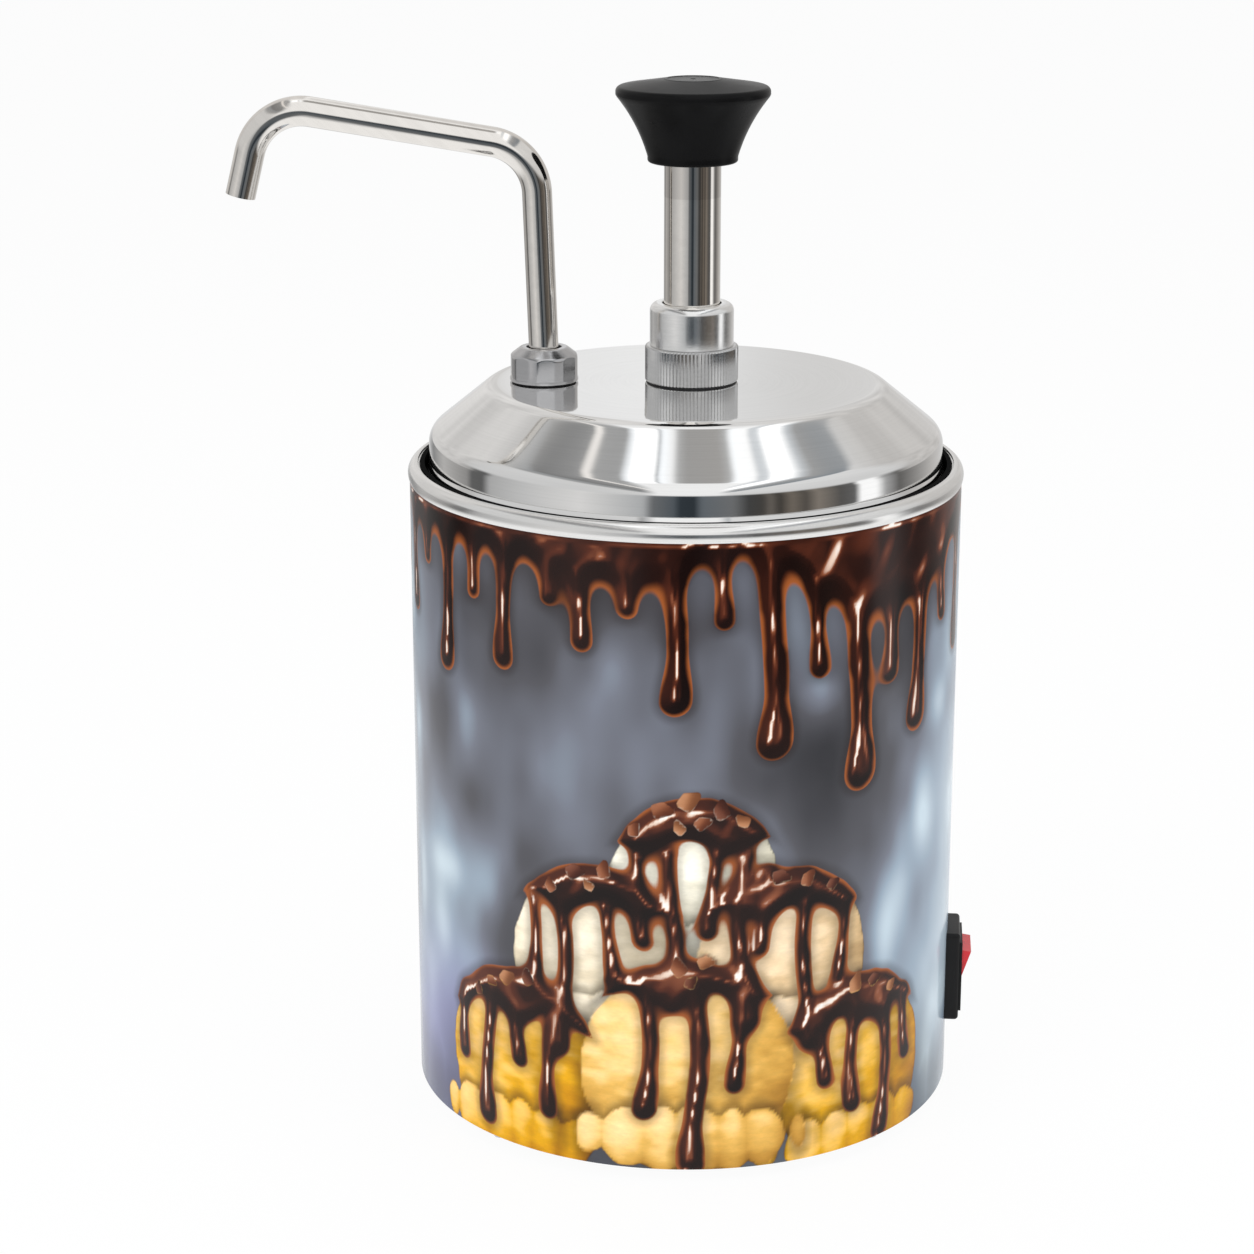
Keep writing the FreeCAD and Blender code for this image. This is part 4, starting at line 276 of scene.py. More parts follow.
def paint_fields(u, v):
    """The fields of the printed dessert at the film's points, in millimetres round the film and up it: how far
    a point lies outside the scoops, the sauce and the chopped pieces, the colour of scoops and pieces, the
    sauce's gloss and the blurred wall's brightness. Each form is a distance, lit by its normal."""
    light = np.array([-0.42, 0.62, 0.66])
    wander = 1.6 * (noise_field(u, v, 10.0, 11) - 0.5) + 0.7 * (noise_field(u, v, 4.2, 12) - 0.5)
    wall = 0.41 + 0.44 * (noise_field(u, v, 58.0, 1) - 0.5) + 0.26 * (noise_field(u, v * 0.7, 25.0, 2) - 0.5)
    wall = wall + 0.12 * (noise_field(u, v * 0.6, 10.0, 3) - 0.5)
    wall = wall + 0.30 * np.exp(-((u - 150) / 46) ** 2) + 0.12 * np.exp(-((u + 150) / 46) ** 2)
    chance = np.random.default_rng(17)
    for _ in range(64):
        spot_u, spot_v, wide, tall, bright = chance.random(5)
        spot_u, spot_v = (spot_u - 0.5) * GIRTH, 12 + 250 * spot_v
        bright = (0.10 + 0.34 * bright) * (0.30 + 0.70 * step(50, 105, abs(spot_u)))
        across = (u - spot_u + GIRTH / 2) % GIRTH - GIRTH / 2
        wall = wall + bright * np.exp(-(across / (5 + 7 * wide)) ** 2 - ((v - spot_v) / (8 + 14 * tall)) ** 2)

    su, sv = u / 1.04, (v + 10.0) / 1.06
    pile = np.full(u.shape, FAR)
    tint = np.zeros(u.shape + (3,))

    def lay(edge, level, flavour, halo):
        """Lays one lit form over the picture, with a soft shadow round it."""
        near = step(halo, 0.0, edge) * 0.55 * (edge > 0)
        under = tint * (1 - near[..., None])
        deep = np.clip(level, 0.04, 1.0)[..., None]
        colour = flavour * (0.12 + 0.88 * deep) * (flavour ** (0.85 * (1 - deep)))
        colour = colour + np.clip(level - 0.90, 0, 0.4)[..., None] * 0.7
        inside = step(0.45, -0.45, edge)[..., None]
        return under * (1 - inside) + colour * inside

    cream, golden, toffee = tone(255, 249, 228), tone(255, 194, 22), tone(246, 190, 100)
    scoops = [
        (2, 128, 33, cream), (-37, 98, 35, cream * 0.8 + toffee * 0.2), (38, 96, 36, cream * 0.45 + toffee * 0.55),
        (-71, 47, 38, golden), (72, 45, 38, golden * 0.92), (0, 55, 42, golden * 0.8 + cream * 0.2),
    ]
    for number, (cu, cv, size, flavour) in enumerate(scoops):
        drag = noise_field(u + 0.4 * v, v * 2.6, 9.0, 20 + number) - 0.75
        drag = drag + 0.5 * noise_field(u - 0.2 * v, v * 2.0, 4.0, 30 + number)
        du, dv = (su - cu) / size, (sv - cv) / size
        reach = np.hypot(du, dv)
        ball = (reach - 1) * size + 1.1 * wander
        wave = np.abs(np.sin((su - cu) / 4.6 + 2.4 * noise_field(u, v * 0.2, 13.0, 40 + number))) - 0.6
        fv = (sv - cv + 0.66 * size) / (0.30 * size)
        oval = np.hypot(du / 1.10, fv)
        fringe = (oval - 1) * 0.30 * size - 3.2 * wave + 1.2 * wander
        depth = np.sqrt(np.clip(1 - np.minimum(reach, 0.999) ** 2, 0, 1))
        facing = du * light[0] + dv * light[1] + depth * light[2]
        level = 0.66 + 0.52 * np.clip(facing, -0.5, 1) + 0.26 * drag
        level = level - 0.12 * step(0.20, -0.80, dv)
        tint = lay(ball, level, flavour, 7.0)
        rounded_depth = np.sqrt(np.clip(1 - np.clip(1 + fringe / 6.0, 0, 0.999) ** 2, 0, 1))
        facing = du * light[0] + 0.8 * np.clip(fv, -1, 1) * light[1] + rounded_depth * light[2]
        level = 0.56 + 0.58 * np.clip(facing, -0.6, 1) + 0.18 * wave + 0.16 * drag
        tint = lay(fringe, level, flavour, 6.0)
        pile = np.minimum(pile, np.minimum(ball, fringe))

    hem = 262 - 24 * step(10, 80, u) * step(170, 110, u) - 8 * step(-140, -60, u) * step(20, -30, u)
    hem = hem + 3.0 * np.sin(u / 17.0)
    sauce = (hem - v) * 0.8
    drips = [
        (-170, 236, 4.2), (-149, 222, 5.0), (-131, 244, 3.2), (-114, 206, 5.6), (-96, 238, 3.4),
        (-78, 214, 5.2), (-58, 242, 3.4), (-44, 226, 4.6), (-23, 240, 3.6), (-6, 204, 6.4), (12, 236, 3.8),
        (33, 186, 7.6), (52, 214, 4.4), (72, 168, 8.0), (88, 206, 4.6), (107, 184, 6.8), (128, 222, 4.0),
        (148, 206, 5.6), (170, 236, 4.0),
    ]
    chance = np.random.default_rng(5)
    drips += [(d, 200 + 44 * chance.random(), 3.4 + 3.0 * chance.random()) for d in range(190, 527, 19)]
    for du, low, size in drips:
        across = (u - du - 1.2 * np.sin(v / 16.0 + du) + GIRTH / 2) % GIRTH - GIRTH / 2
        bead = np.hypot(across, np.maximum(low - v, 0) + np.maximum(v - 268, 0)) - size
        sauce = soft_min(sauce, bead + 0.34 * size * step(low + 1, low + 20, v), 13.0)
    caps = [
        (2, 132, 32.0, 0.40), (-37, 102, 34.0, 0.50), (38, 100, 35.0, 0.50), (-71, 51, 37.0, 0.50),
        (72, 49, 37.0, 0.50), (0, 59, 41.0, 0.62),
    ]
    runs = [
        (-18, 140, 108, 4.2), (-6, 142, 84, 5.2), (9, 142, 112, 3.8), (21, 140, 76, 5.4), (29, 134, 104, 3.6),
        (-63, 118, 86, 3.8), (-50, 122, 62, 5.0), (-30, 120, 92, 4.0), (47, 120, 64, 5.2), (62, 116, 88, 3.8),
        (-100, 72, 46, 3.8), (-86, 78, 24, 5.0), (-70, 78, 52, 4.0), (-55, 76, 34, 4.2), (56, 76, 46, 4.0),
        (70, 76, 34, 4.8), (86, 76, 18, 5.0), (100, 70, 46, 3.8), (-16, 92, 40, 5.0), (3, 94, 18, 5.8),
        (20, 92, 50, 4.2),
    ]
    glaze = np.full(u.shape, FAR)
    for cu, cv, size, cut in caps:
        dome = np.hypot(su - cu, sv - cv) - size - 0.6 + 0.8 * wander
        lower = cv + size * cut + 3.0 * np.sin((su - cu) / 5.2 + cu) - sv
        glaze = soft_min(glaze, np.maximum(dome, lower), 4.0)
    for ru, high, low, size in runs:
        wiggle = 1.8 * np.sin(sv / 13.0 + ru)
        line = np.hypot(su - ru - wiggle, np.maximum(low - sv, 0) + np.maximum(sv - high, 0)) - size
        glaze = soft_min(glaze, line + 0.32 * size * step(low + 3, low + 18, sv), 7.0)
    glaze = soft_min(glaze, sauce, 3.0)
    lift = np.clip(-glaze / SAUCE_SLOPE, 0, 1)
    swell = noise_field(u + 0.3 * v, v * 0.45, 16.0, 60) + 0.35 * noise_field(u - 0.4 * v, v * 0.6, 7.0, 61)
    crown = np.sqrt(1 - (1 - lift) ** 2) + 0.95 * swell * step(0.2, 1.0, lift)
    for axis in (0, 1, 1):
        crown = 0.5 * crown + 0.25 * (np.roll(crown, 1, axis) + np.roll(crown, -1, axis))
    spacing = (np.roll(u, -1, 1) - np.roll(u, 1, 1)) % GIRTH
    slope_u = SAUCE_SLOPE * (np.roll(crown, -1, 1) - np.roll(crown, 1, 1)) / spacing
    slope_v = SAUCE_SLOPE * np.gradient(crown, axis=0) / np.gradient(v, axis=0)
    length = np.sqrt(slope_u ** 2 + slope_v ** 2 + 1)
    gloss = 0.04 + 0.30 * np.clip((-slope_u * light[0] - slope_v * light[1] + light[2]) / length, 0, 1) ** 2
    gloss = gloss + 0.12 * (noise_field(u, v * 0.5, 24.0, 63) - 0.5)
    lamps = ((light, 0.84, 0.85), ((-0.80, 0.10, 0.59), 0.90, 0.50), ((0.72, 0.30, 0.62), 0.90, 0.36))
    for lamp, keen, power in lamps:
        facing = (-slope_u * lamp[0] - slope_v * lamp[1] + lamp[2]) / length
        mirror = 2 * facing / length - lamp[2]
        patchy = step(0.26, 0.62, noise_field(u, v * 0.7, 13.0, 62))
        glint = step(keen - 0.02, keen + 0.10, mirror) * step(0.04, 0.22, lift)
        gloss = gloss + power * (0.25 + 0.75 * patchy) * glint
        gloss = gloss + 0.20 * step(keen - 0.28, keen + 0.10, mirror) * step(0.04, 0.3, lift)
    gloss = np.clip(gloss, 0, 1)

    bits = np.full(u.shape, FAR)
    spots = [
        (-10, 160, 4.6, 0.3), (0, 164, 5.2, 1.0), (12, 160, 4.4, 2.0), (5, 155, 3.8, 0.7), (-4, 153, 3.6, 2.4),
        (-44, 133, 4.6, 0.5), (-33, 135, 4.2, 1.8), (-39, 128, 3.4, 2.7), (36, 132, 4.8, 0.2), (47, 130, 4.0, 1.3),
        (-76, 84, 4.6, 0.9), (-66, 86, 4.0, 2.1), (-84, 80, 3.4, 0.1), (70, 83, 4.6, 1.6), (80, 82, 3.8, 0.6),
        (-4, 98, 4.8, 2.2), (7, 100, 4.2, 0.4), (1, 92, 3.6, 1.2), (-21, 152, 3.4, 1.5), (20, 155, 3.6, 2.8),
        (58, 126, 3.6, 0.9), (-55, 126, 3.6, 2.2), (90, 77, 3.4, 1.1), (-92, 75, 3.6, 1.9),
    ]
    for number, (bu, bv, size, turned) in enumerate(spots):
        x, y = su - bu, sv - bv
        x, y = x * math.cos(turned) + y * math.sin(turned), y * math.cos(turned) - x * math.sin(turned)
        over_x, over_y = np.maximum(np.abs(x) - size * 0.55, 0), np.maximum(np.abs(y) - size * 0.32, 0)
        block = np.hypot(over_x, over_y) - size * 0.38
        block = np.maximum(block, (0.8 * x + 0.6 * y) - size * 0.62) + 0.4 * wander
        face = 0.60 + 0.26 * np.tanh((y * 1.4 - x * 0.4) / size * 2.2) + 0.10 * np.clip(y / size, -1, 1)
        chopped = (tone(176, 116, 84), tone(206, 150, 110), tone(138, 86, 66))[number % 3]
        tint = lay(block, face, chopped, 1.2)
        bits = np.minimum(bits, block)
    return {"pile": pile, "glaze": glaze, "gloss": gloss, "bits": bits, "wall": wall}, tint


FRONT = 165.0  # the print has a point every millimetre up to here on each side of the front
FILM_ROWS, BACK_COLUMNS = 206, 140
round_the_back = np.linspace(FRONT, GIRTH - FRONT, BACK_COLUMNS, endpoint=False)
round_the_film = np.concatenate([np.arange(-FRONT, FRONT, 1.0), round_the_back])
film_columns = len(round_the_film)
angle = round_the_film / FILM_RADIUS - math.pi / 2
rise = np.linspace(FILM_BASE, FILM_TOP, FILM_ROWS)
outline_r = np.concatenate([np.full(FILM_ROWS, FILM_RADIUS), [FILM_RADIUS - FILM_WALL] * 2])
outline_z = np.concatenate([rise, [FILM_TOP, FILM_BASE]])
film_points = np.stack([
    outline_r[:, None] * np.cos(angle), outline_r[:, None] * np.sin(angle), outline_z[:, None] + 0 * angle], -1)
film_u, film_v = np.meshgrid((round_the_film + GIRTH / 2) % GIRTH - GIRTH / 2, rise)
fields, tint = paint_fields(film_u, film_v)

film_paint = bpy.data.materials.new("printed_film")
film_paint.use_nodes = True
print_tree = film_paint.node_tree
film_shader = print_tree.nodes["Principled BSDF"]
film_shader.inputs["Specular IOR Level"].default_value = 0.25
spot = put(print_tree, "TexCoord").outputs["Object"]


def field_of(name, output="Fac"):
    """Reads one of the film's own point attributes."""
    return put(print_tree, "Attribute", attribute_name=name).outputs[output]


wall_colour = ramp(print_tree, field_of("wall"), [
    (0.10, tone(54, 54, 58)), (0.32, tone(86, 86, 92)), (0.50, tone(118, 122, 134)), (0.72, tone(156, 172, 188)),
    (1.0, tone(206, 222, 232)),
])
VIOLET_MIDDLE = (-0.100, -0.060, 0.030)
violet_reach = put(print_tree, "VectorMath", {0: spot, 1: VIOLET_MIDDLE}, operation="DISTANCE").outputs["Value"]
violet_share = stretch(print_tree, violet_reach, 0.074, 0.012, 0.0, 0.90)
wall_colour = blend_colours(print_tree, violet_share, wall_colour, (*tone(152, 154, 196), 1))
pile_edge = stretch(print_tree, field_of("pile"), 0.4, -0.4)
crumb_spot = put(print_tree, "Mapping", {"Vector": spot, "Scale": (1, 1, 2.2)}).outputs[0]
crumb = {"Vector": crumb_spot, "Scale": 260.0, "Detail": 4.0, "Roughness": 0.62}
crumb = stretch(print_tree, put(print_tree, "TexNoise", crumb).outputs[0], 0.30, 0.70, 0.92, 1.06, "LINEAR")
scoop_colour = {0: field_of("tint", "Color"), 1: crumb}
scoop_colour = put(print_tree, "VectorMath", scoop_colour, operation="MULTIPLY").outputs[0]
axes_of_film = put(print_tree, "SeparateXYZ", {0: spot})
low_down = stretch(print_tree, axes_of_film.outputs["Z"], 0.080, 0.012, 0.0, 0.60)
ground = maths(print_tree, "MULTIPLY", stretch(print_tree, field_of("pile"), 26.0, 0.0), low_down)
wall_colour = blend_colours(print_tree, ground, wall_colour, (0.012, 0.010, 0.012, 1))
picture = blend_colours(print_tree, pile_edge, wall_colour, scoop_colour)
sauce_edge = field_of("glaze")
ragged = put(print_tree, "TexNoise", {"Vector": spot, "Scale": 60.0, "Detail": 1.0}).outputs[0]
caramel_width = stretch(print_tree, ragged, 0.40, 0.66, -0.1, -1.6, "LINEAR")
shadow = stretch(print_tree, sauce_edge, 4.5, 0.0, 0.0, 0.45)
picture = blend_colours(print_tree, shadow, picture, (0.02, 0.012, 0.01, 1))
caramel = ramp(print_tree, stretch(print_tree, sauce_edge, -2.6, 0.4), [
    (0.0, tone(86, 38, 20)), (1.0, tone(168, 92, 44)),
])
picture = blend_colours(print_tree, stretch(print_tree, sauce_edge, 0.35, -0.35), picture, caramel)
gloss_level = field_of("gloss")
chocolate = ramp(print_tree, gloss_level, [
    (0.00, tone(18, 8, 7)), (0.18, tone(44, 19, 13)), (0.36, tone(86, 40, 25)), (0.56, tone(146, 84, 56)),
    (0.78, tone(236, 208, 188)), (1.00, tone(255, 250, 244)),
])
inner_edge = maths(print_tree, "SUBTRACT", sauce_edge, caramel_width)
picture = blend_colours(print_tree, stretch(print_tree, inner_edge, 1.1, -1.1), picture, chocolate)
picture = blend_colours(print_tree, stretch(print_tree, field_of("bits"), -0.1, -0.7), picture, scoop_colour)
at_seam = stretch(print_tree, maths(print_tree, "ABSOLUTE", axes_of_film.outputs["X"]), 0.0005, 0.0002)
at_back = maths(print_tree, "GREATER_THAN", axes_of_film.outputs["Y"], 0.0)
seam = maths(print_tree, "MULTIPLY", at_seam, at_back)
picture = blend_colours(print_tree, maths(print_tree, "MULTIPLY", seam, 0.6), picture, (0.02, 0.02, 0.02, 1))
print_tree.links.new(picture, film_shader.inputs["Base Color"])
film_smudge = put(print_tree, "TexNoise", {"Vector": spot, "Scale": 30.0, "Detail": 3.0}).outputs[0]
film_rough = stretch(print_tree, film_smudge, 0.3, 0.7, 0.13, 0.20, "LINEAR")
print_tree.links.new(film_rough, film_shader.inputs["Roughness"])
film_wave = put(print_tree, "TexNoise", {"Vector": spot, "Scale": 12.0, "Detail": 1.0}).outputs[0]
film_wave = maths(print_tree, "ADD", seam, film_wave)
film_bump = put(print_tree, "Bump", {"Strength": 0.25, "Distance": 0.0004, "Height": film_wave})
print_tree.links.new(film_bump.outputs[0], film_shader.inputs["Normal"])

film_faces = loop_faces(len(outline_r), film_columns)
film = build("film", film_points.reshape(-1, 3), film_faces, "root", ["printed_wrap"], film_paint)
for field_name, field in fields.items():
    full = np.zeros(film_points.shape[:2])
    full[:FILM_ROWS] = field
    attribute = film.data.attributes.new(field_name, "FLOAT", "POINT")
    attribute.data.foreach_set("value", full.reshape(-1).astype(np.float32))
full = np.ones(film_points.shape[:2] + (4,))
full[:FILM_ROWS, :, :3] = tint
attribute = film.data.attributes.new("tint", "FLOAT_COLOR", "POINT")
attribute.data.foreach_set("color", full.reshape(-1).astype(np.float32))


# Rim ring: a bright folded steel trim that caps the cabinet. Its outer corner is rolled round, and a
# narrow groove runs beside the well's lip, which is turned over the ring's inner shelf.
def arc(middle, start, end, size, parts):
    """Points at equal angles from start to end, the shorter way round a circle of the given size. Without a
    number of parts they are about 3 degrees apart."""
    a = math.atan2(*(start - middle)[::-1])
    turned = (math.atan2(*(end - middle)[::-1]) - a + math.pi) % (2 * math.pi) - math.pi
    parts = parts or max(2, int(abs(turned) / math.radians(3)))
    angles = a + turned * np.linspace(0, 1, parts + 1)
    return [middle + size * np.array([math.cos(way), math.sin(way)]) for way in angles]


def fillet(before, corner, after, size, parts=0):
    """The arc of the given size that is tangent to both lines at a corner."""
    back, ahead = before - corner, after - corner
    back, ahead = back / np.hypot(*back), ahead / np.hypot(*ahead)
    half = math.acos(np.clip(back @ ahead, -1, 1)) / 2
    middle = corner + (back + ahead) / np.hypot(*(back + ahead)) * size / math.sin(half)
    reach = size / math.tan(half)
    return arc(middle, corner + back * reach, corner + ahead * reach, size, parts)


def rounded(corners, steps=8):
    """An outline from (radius, level, rounding) corners; a rounded one becomes a tangent arc."""
    corners = [np.array(c, float) for c in corners]
    made = []
    for index, (*corner, size) in enumerate(corners):
        before, after = corners[index - 1][:2], corners[(index + 1) % len(corners)][:2]
        corner = np.array(corner)
        made += fillet(before, corner, after, size, steps) if size > 0 else [corner]
    return np.array(made)


def lathe(name, outline, centre, body, replaced, material, segments=256, shape=None, sharp=35.0):
    """Turns an outline of (radius, level) round a vertical axis. It is a loop, or it starts and ends on
    the axis, where it closes in a pole. A shape function may change the radii from angle to angle."""
    turn_angle = np.arange(segments) / segments * 2 * math.pi
    radius, level = outline[:, 0], outline[:, 1]
    poles = radius[0] < 1e-6 and radius[-1] < 1e-6
    if poles:
        radius, level = radius[1:-1], level[1:-1]
    grid_r, grid_z = radius[:, None] + 0 * turn_angle, level[:, None] + 0 * turn_angle
    if shape is not None:
        grid_r = shape(grid_r, grid_z, turn_angle[None, :])
    points = np.stack([centre + grid_r * np.cos(turn_angle), grid_r * np.sin(turn_angle), grid_z], -1).reshape(-1, 3)
    faces = loop_faces(len(radius), segments)
    if poles:
        faces = faces[: (len(radius) - 1) * segments].tolist()
        first, last = len(points), len(points) + 1
        points = np.vstack([points, [centre, 0, outline[0, 1]], [centre, 0, outline[-1, 1]]])
        row = (len(radius) - 1) * segments
        faces += [(first, (j + 1) % segments, j) for j in range(segments)]
        faces += [(last, row + j, row + (j + 1) % segments) for j in range(segments)]
    return build(name, points, faces, body, replaced, material, sharp)


spun = bpy.data.node_groups.new("spun_grain", "ShaderNodeTree")
for socket, kind in (("Vector", "NodeSocketVector"), ("Lines", "NodeSocketFloat"), ("Length", "NodeSocketFloat")):
    spun.interface.new_socket(socket, in_out="INPUT", socket_type=kind)
for socket in ("Grain", "Smudge"):
    spun.interface.new_socket(socket, in_out="OUTPUT", socket_type="NodeSocketFloat")
spun_in, spun_out = spun.nodes.new("NodeGroupInput"), spun.nodes.new("NodeGroupOutput")
flat = put(spun, "VectorMath", {0: spun_in.outputs["Vector"], 1: (1, 1, 0)}, operation="MULTIPLY")
reach = put(spun, "VectorMath", {0: flat.outputs[0]}, operation="LENGTH").outputs["Value"]
heading = put(spun, "VectorMath", {0: flat.outputs[0]}, operation="NORMALIZE").outputs[0]
heading = put(spun, "VectorMath", {0: heading, 1: spun_in.outputs["Length"]}, operation="MULTIPLY").outputs[0]
up = put(spun, "SeparateXYZ", {0: spun_in.outputs["Vector"]}).outputs["Z"]
along = maths(spun, "MULTIPLY", maths(spun, "MULTIPLY_ADD", reach, -0.9, up), spun_in.outputs["Lines"])
along = put(spun, "CombineXYZ", {2: along}).outputs[0]
track = put(spun, "VectorMath", {0: heading, 1: along}, operation="ADD").outputs[0]
grain = put(spun, "TexNoise", {"Vector": track, "Scale": 1.0, "Detail": 4.0, "Roughness": 0.62}).outputs[0]
smudge = put(spun, "TexNoise", {"Vector": spun_in.outputs["Vector"], "Scale": 45.0, "Detail": 4.0}).outputs[0]
spun.links.new(grain, spun_out.inputs["Grain"])
spun.links.new(smudge, spun_out.inputs["Smudge"])


def steel(name, colour, rough, centre=0.0, lines=2200.0, length=3.0, depth=0.00003, spread=0.08, tinge=0.10,
          wave=0.0, metal=1.0):
    """A stainless finish with fine turning lines round an upright axis at the given x, in millimetres. A wave
    is the height in metres of the sheet's slow waviness."""
    material = bpy.data.materials.new(name)
    material.use_nodes = True
    tree = material.node_tree
    shader = tree.nodes["Principled BSDF"]
    shader.inputs["Metallic"].default_value = metal
    where = put(tree, "TexCoord").outputs["Object"]
    where = put(tree, "Mapping", {"Vector": where, "Location": (-centre * MM, 0, 0)}).outputs[0]
    lines_node = put(tree, "Group", node_tree=spun)
    tree.links.new(where, lines_node.inputs["Vector"])
    lines_node.inputs["Lines"].default_value = lines
    lines_node.inputs["Length"].default_value = length
    grain_value, smudge_value = lines_node.outputs["Grain"], lines_node.outputs["Smudge"]
    worn = tuple(np.array(colour) * (1 - tinge))
    base = blend_colours(tree, stretch(tree, grain_value, 0.35, 0.65), (*worn, 1), (*colour, 1))
    tree.links.new(base, shader.inputs["Base Color"])
    mixed = maths(tree, "MULTIPLY_ADD", grain_value, 0.5, maths(tree, "MULTIPLY", smudge_value, 0.5))
    roughness = stretch(tree, mixed, 0.35, 0.65, rough - spread / 2, rough + spread / 2, "LINEAR")
    tree.links.new(roughness, shader.inputs["Roughness"])
    bump = put(tree, "Bump", {"Strength": 0.6, "Distance": depth, "Height": grain_value})
    if wave:
        slow = put(tree, "TexNoise", {"Vector": where, "Scale": 14.0, "Detail": 1.0}).outputs[0]
        bump = put(tree, "Bump", {"Strength": 1.0, "Distance": wave, "Height": slow, "Normal": bump.outputs[0]})
    tree.links.new(bump.outputs[0], shader.inputs["Normal"])
    return material


def dress(material, *names):
    """Gives CAD nodes a material."""
    for name in names:
        mesh = nodes[name].data
        mesh.materials.clear()
        mesh.materials.append(material)


rim_steel = steel("rim_steel", (0.90, 0.895, 0.885), 0.18, lines=1600.0, depth=0.000006, spread=0.06, tinge=0.04,
                  metal=0.95)
swell = np.linspace(0, 1, 9)
roll = np.linspace(0, math.pi / 2, 17)
rim_outline = np.vstack([
    np.stack([114.05 + 0.64 * (1 - (1 - swell) ** 2), 266.6 + 2.8 * swell], -1)[:-1],
    np.stack([110.6 + 4.09 * np.cos(roll), 269.4 + 4.2 * np.sin(roll)], -1),
    rounded([(109.72, 273.6, 0.3), (109.72, 272.7, 0), (108.55, 272.7, 0), (108.55, 267.7, 0), (109.35, 267.7, 0),
             (109.35, 271.9, 0), (110.8, 271.9, 0), (110.8, 272.8, 0), (113.9, 272.8, 2.6), (113.9, 266.6, 0)])])
lathe("rim", rim_outline, 0.0, "root", ["rim_ring"], rim_steel, segments=320)


# Steel vessels: the water well hangs in the rim ring by its turned lip, and the food jar hangs in the
# well by its flange. Both are deep drawn and brushed. The narrow crevice round the lid gets painted shade.
vessel_steel = steel("vessel_steel", (0.70, 0.70, 0.69), 0.27, lines=900.0, depth=0.00003, spread=0.12)
vessel_tree = vessel_steel.node_tree
vessel_shader = vessel_tree.nodes["Principled BSDF"]
vessel_spot = put(vessel_tree, "TexCoord").outputs["Object"]
vessel_reach = put(vessel_tree, "VectorMath", {0: vessel_spot, 1: (1, 1, 0)}, operation="MULTIPLY").outputs[0]
vessel_reach = put(vessel_tree, "VectorMath", {0: vessel_reach}, operation="LENGTH").outputs["Value"]
vessel_level = put(vessel_tree, "SeparateXYZ", {0: vessel_spot}).outputs["Z"]
# Painted shade: in the crevice between rim ring and lid (105 to 110 mm out, above 265 mm up) the steel is coloured near
# black and made less metallic.
painted_crevice_shade = stretch(vessel_tree, vessel_reach, 0.11000, 0.10985)
for source, bottom, top in ((vessel_reach, 0.1046, 0.1050), (vessel_level, 0.2640, 0.2650)):
    painted_crevice_shade = maths(vessel_tree, "MULTIPLY", painted_crevice_shade, stretch(vessel_tree, source, bottom, top))
vessel_colour = vessel_shader.inputs["Base Color"].links[0].from_socket
vessel_colour = blend_colours(vessel_tree, painted_crevice_shade, vessel_colour, (0.01, 0.01, 0.01, 1))
vessel_tree.links.new(vessel_colour, vessel_shader.inputs["Base Color"])
vessel_shader.inputs["Specular IOR Level"].default_value = 0.0
vessel_metal = stretch(vessel_tree, painted_crevice_shade, 0.0, 1.0, 0.6, 0.0, "LINEAR")
vessel_tree.links.new(vessel_metal, vessel_shader.inputs["Metallic"])
dress(vessel_steel, "water_well", "food_jar")


# Gasket and lid: a black silicone ring, and the lid spun from one steel disc: a short skirt with a
# rolled bead, a steep shoulder and a flat top, polished all over so that fine rings stay in the metal.
def plastic(name, colour, rough, grain_scale=900.0, depth=0.00004, spread=0.10, patch=0.25, specular=0.5, coat=0.0):
    """A moulded plastic or rubber: fine surface grain, and slow patches of duller and shinier skin."""
    material = bpy.data.materials.new(name)
    material.use_nodes = True
    tree = material.node_tree
    shader = tree.nodes["Principled BSDF"]
    shader.inputs["Specular IOR Level"].default_value = specular
    shader.inputs["Coat Weight"].default_value = coat
    where = put(tree, "TexCoord").outputs["Object"]
    skin = put(tree, "TexNoise", {"Vector": where, "Scale": grain_scale, "Detail": 3.0}).outputs[0]
    patches = put(tree, "TexNoise", {"Vector": where, "Scale": 60.0, "Detail": 3.0}).outputs[0]
    duller = tuple(np.array(colour) * (1 - patch))
    base = blend_colours(tree, stretch(tree, patches, 0.3, 0.7), (*duller, 1), (*colour, 1))
    tree.links.new(base, shader.inputs["Base Color"])
    roughness = stretch(tree, patches, 0.3, 0.7, rough - spread / 2, rough + spread / 2, "LINEAR")
    tree.links.new(roughness, shader.inputs["Roughness"])
    bump = put(tree, "Bump", {"Strength": 0.5, "Distance": depth, "Height": skin})
    tree.links.new(bump.outputs[0], shader.inputs["Normal"])
    return material


seal_black = plastic("seal_black", (0.014, 0.014, 0.015), 0.55)
gasket_outline = rounded([
    (103.7, 268.45, 0.5), (106.4, 268.45, 0.5), (106.4, 271.8, 0.5), (105.85, 271.8, 0), (105.85, 270.4, 0),
    (104.95, 270.4, 0), (104.95, 271.8, 0), (103.7, 271.8, 0.5)], 4)
lathe("gasket", gasket_outline, 0.0, "lid", ["lid_gasket"], seal_black, segments=256)

lid_steel = steel("lid_steel", (0.92, 0.92, 0.915), 0.06, lines=1100.0, length=1.2, depth=0.000003, spread=0.03,
                  tinge=0.03, wave=0.0008)
lid_outline = rounded([
    (105.0, 270.4, 0), (105.8, 270.4, 0), (105.8, 271.8, 0), (106.4, 272.1, 0.3), (106.4, 272.9, 0.4),
    (105.8, 274.6, 0.5), (105.8, 285.5, 8.0), (80.8, 305.9, 10.0), (0.0, 305.9, 0), (0.0, 305.1, 0), (80.5, 305.1, 9.2),
    (105.0, 285.2, 7.2)], 12)


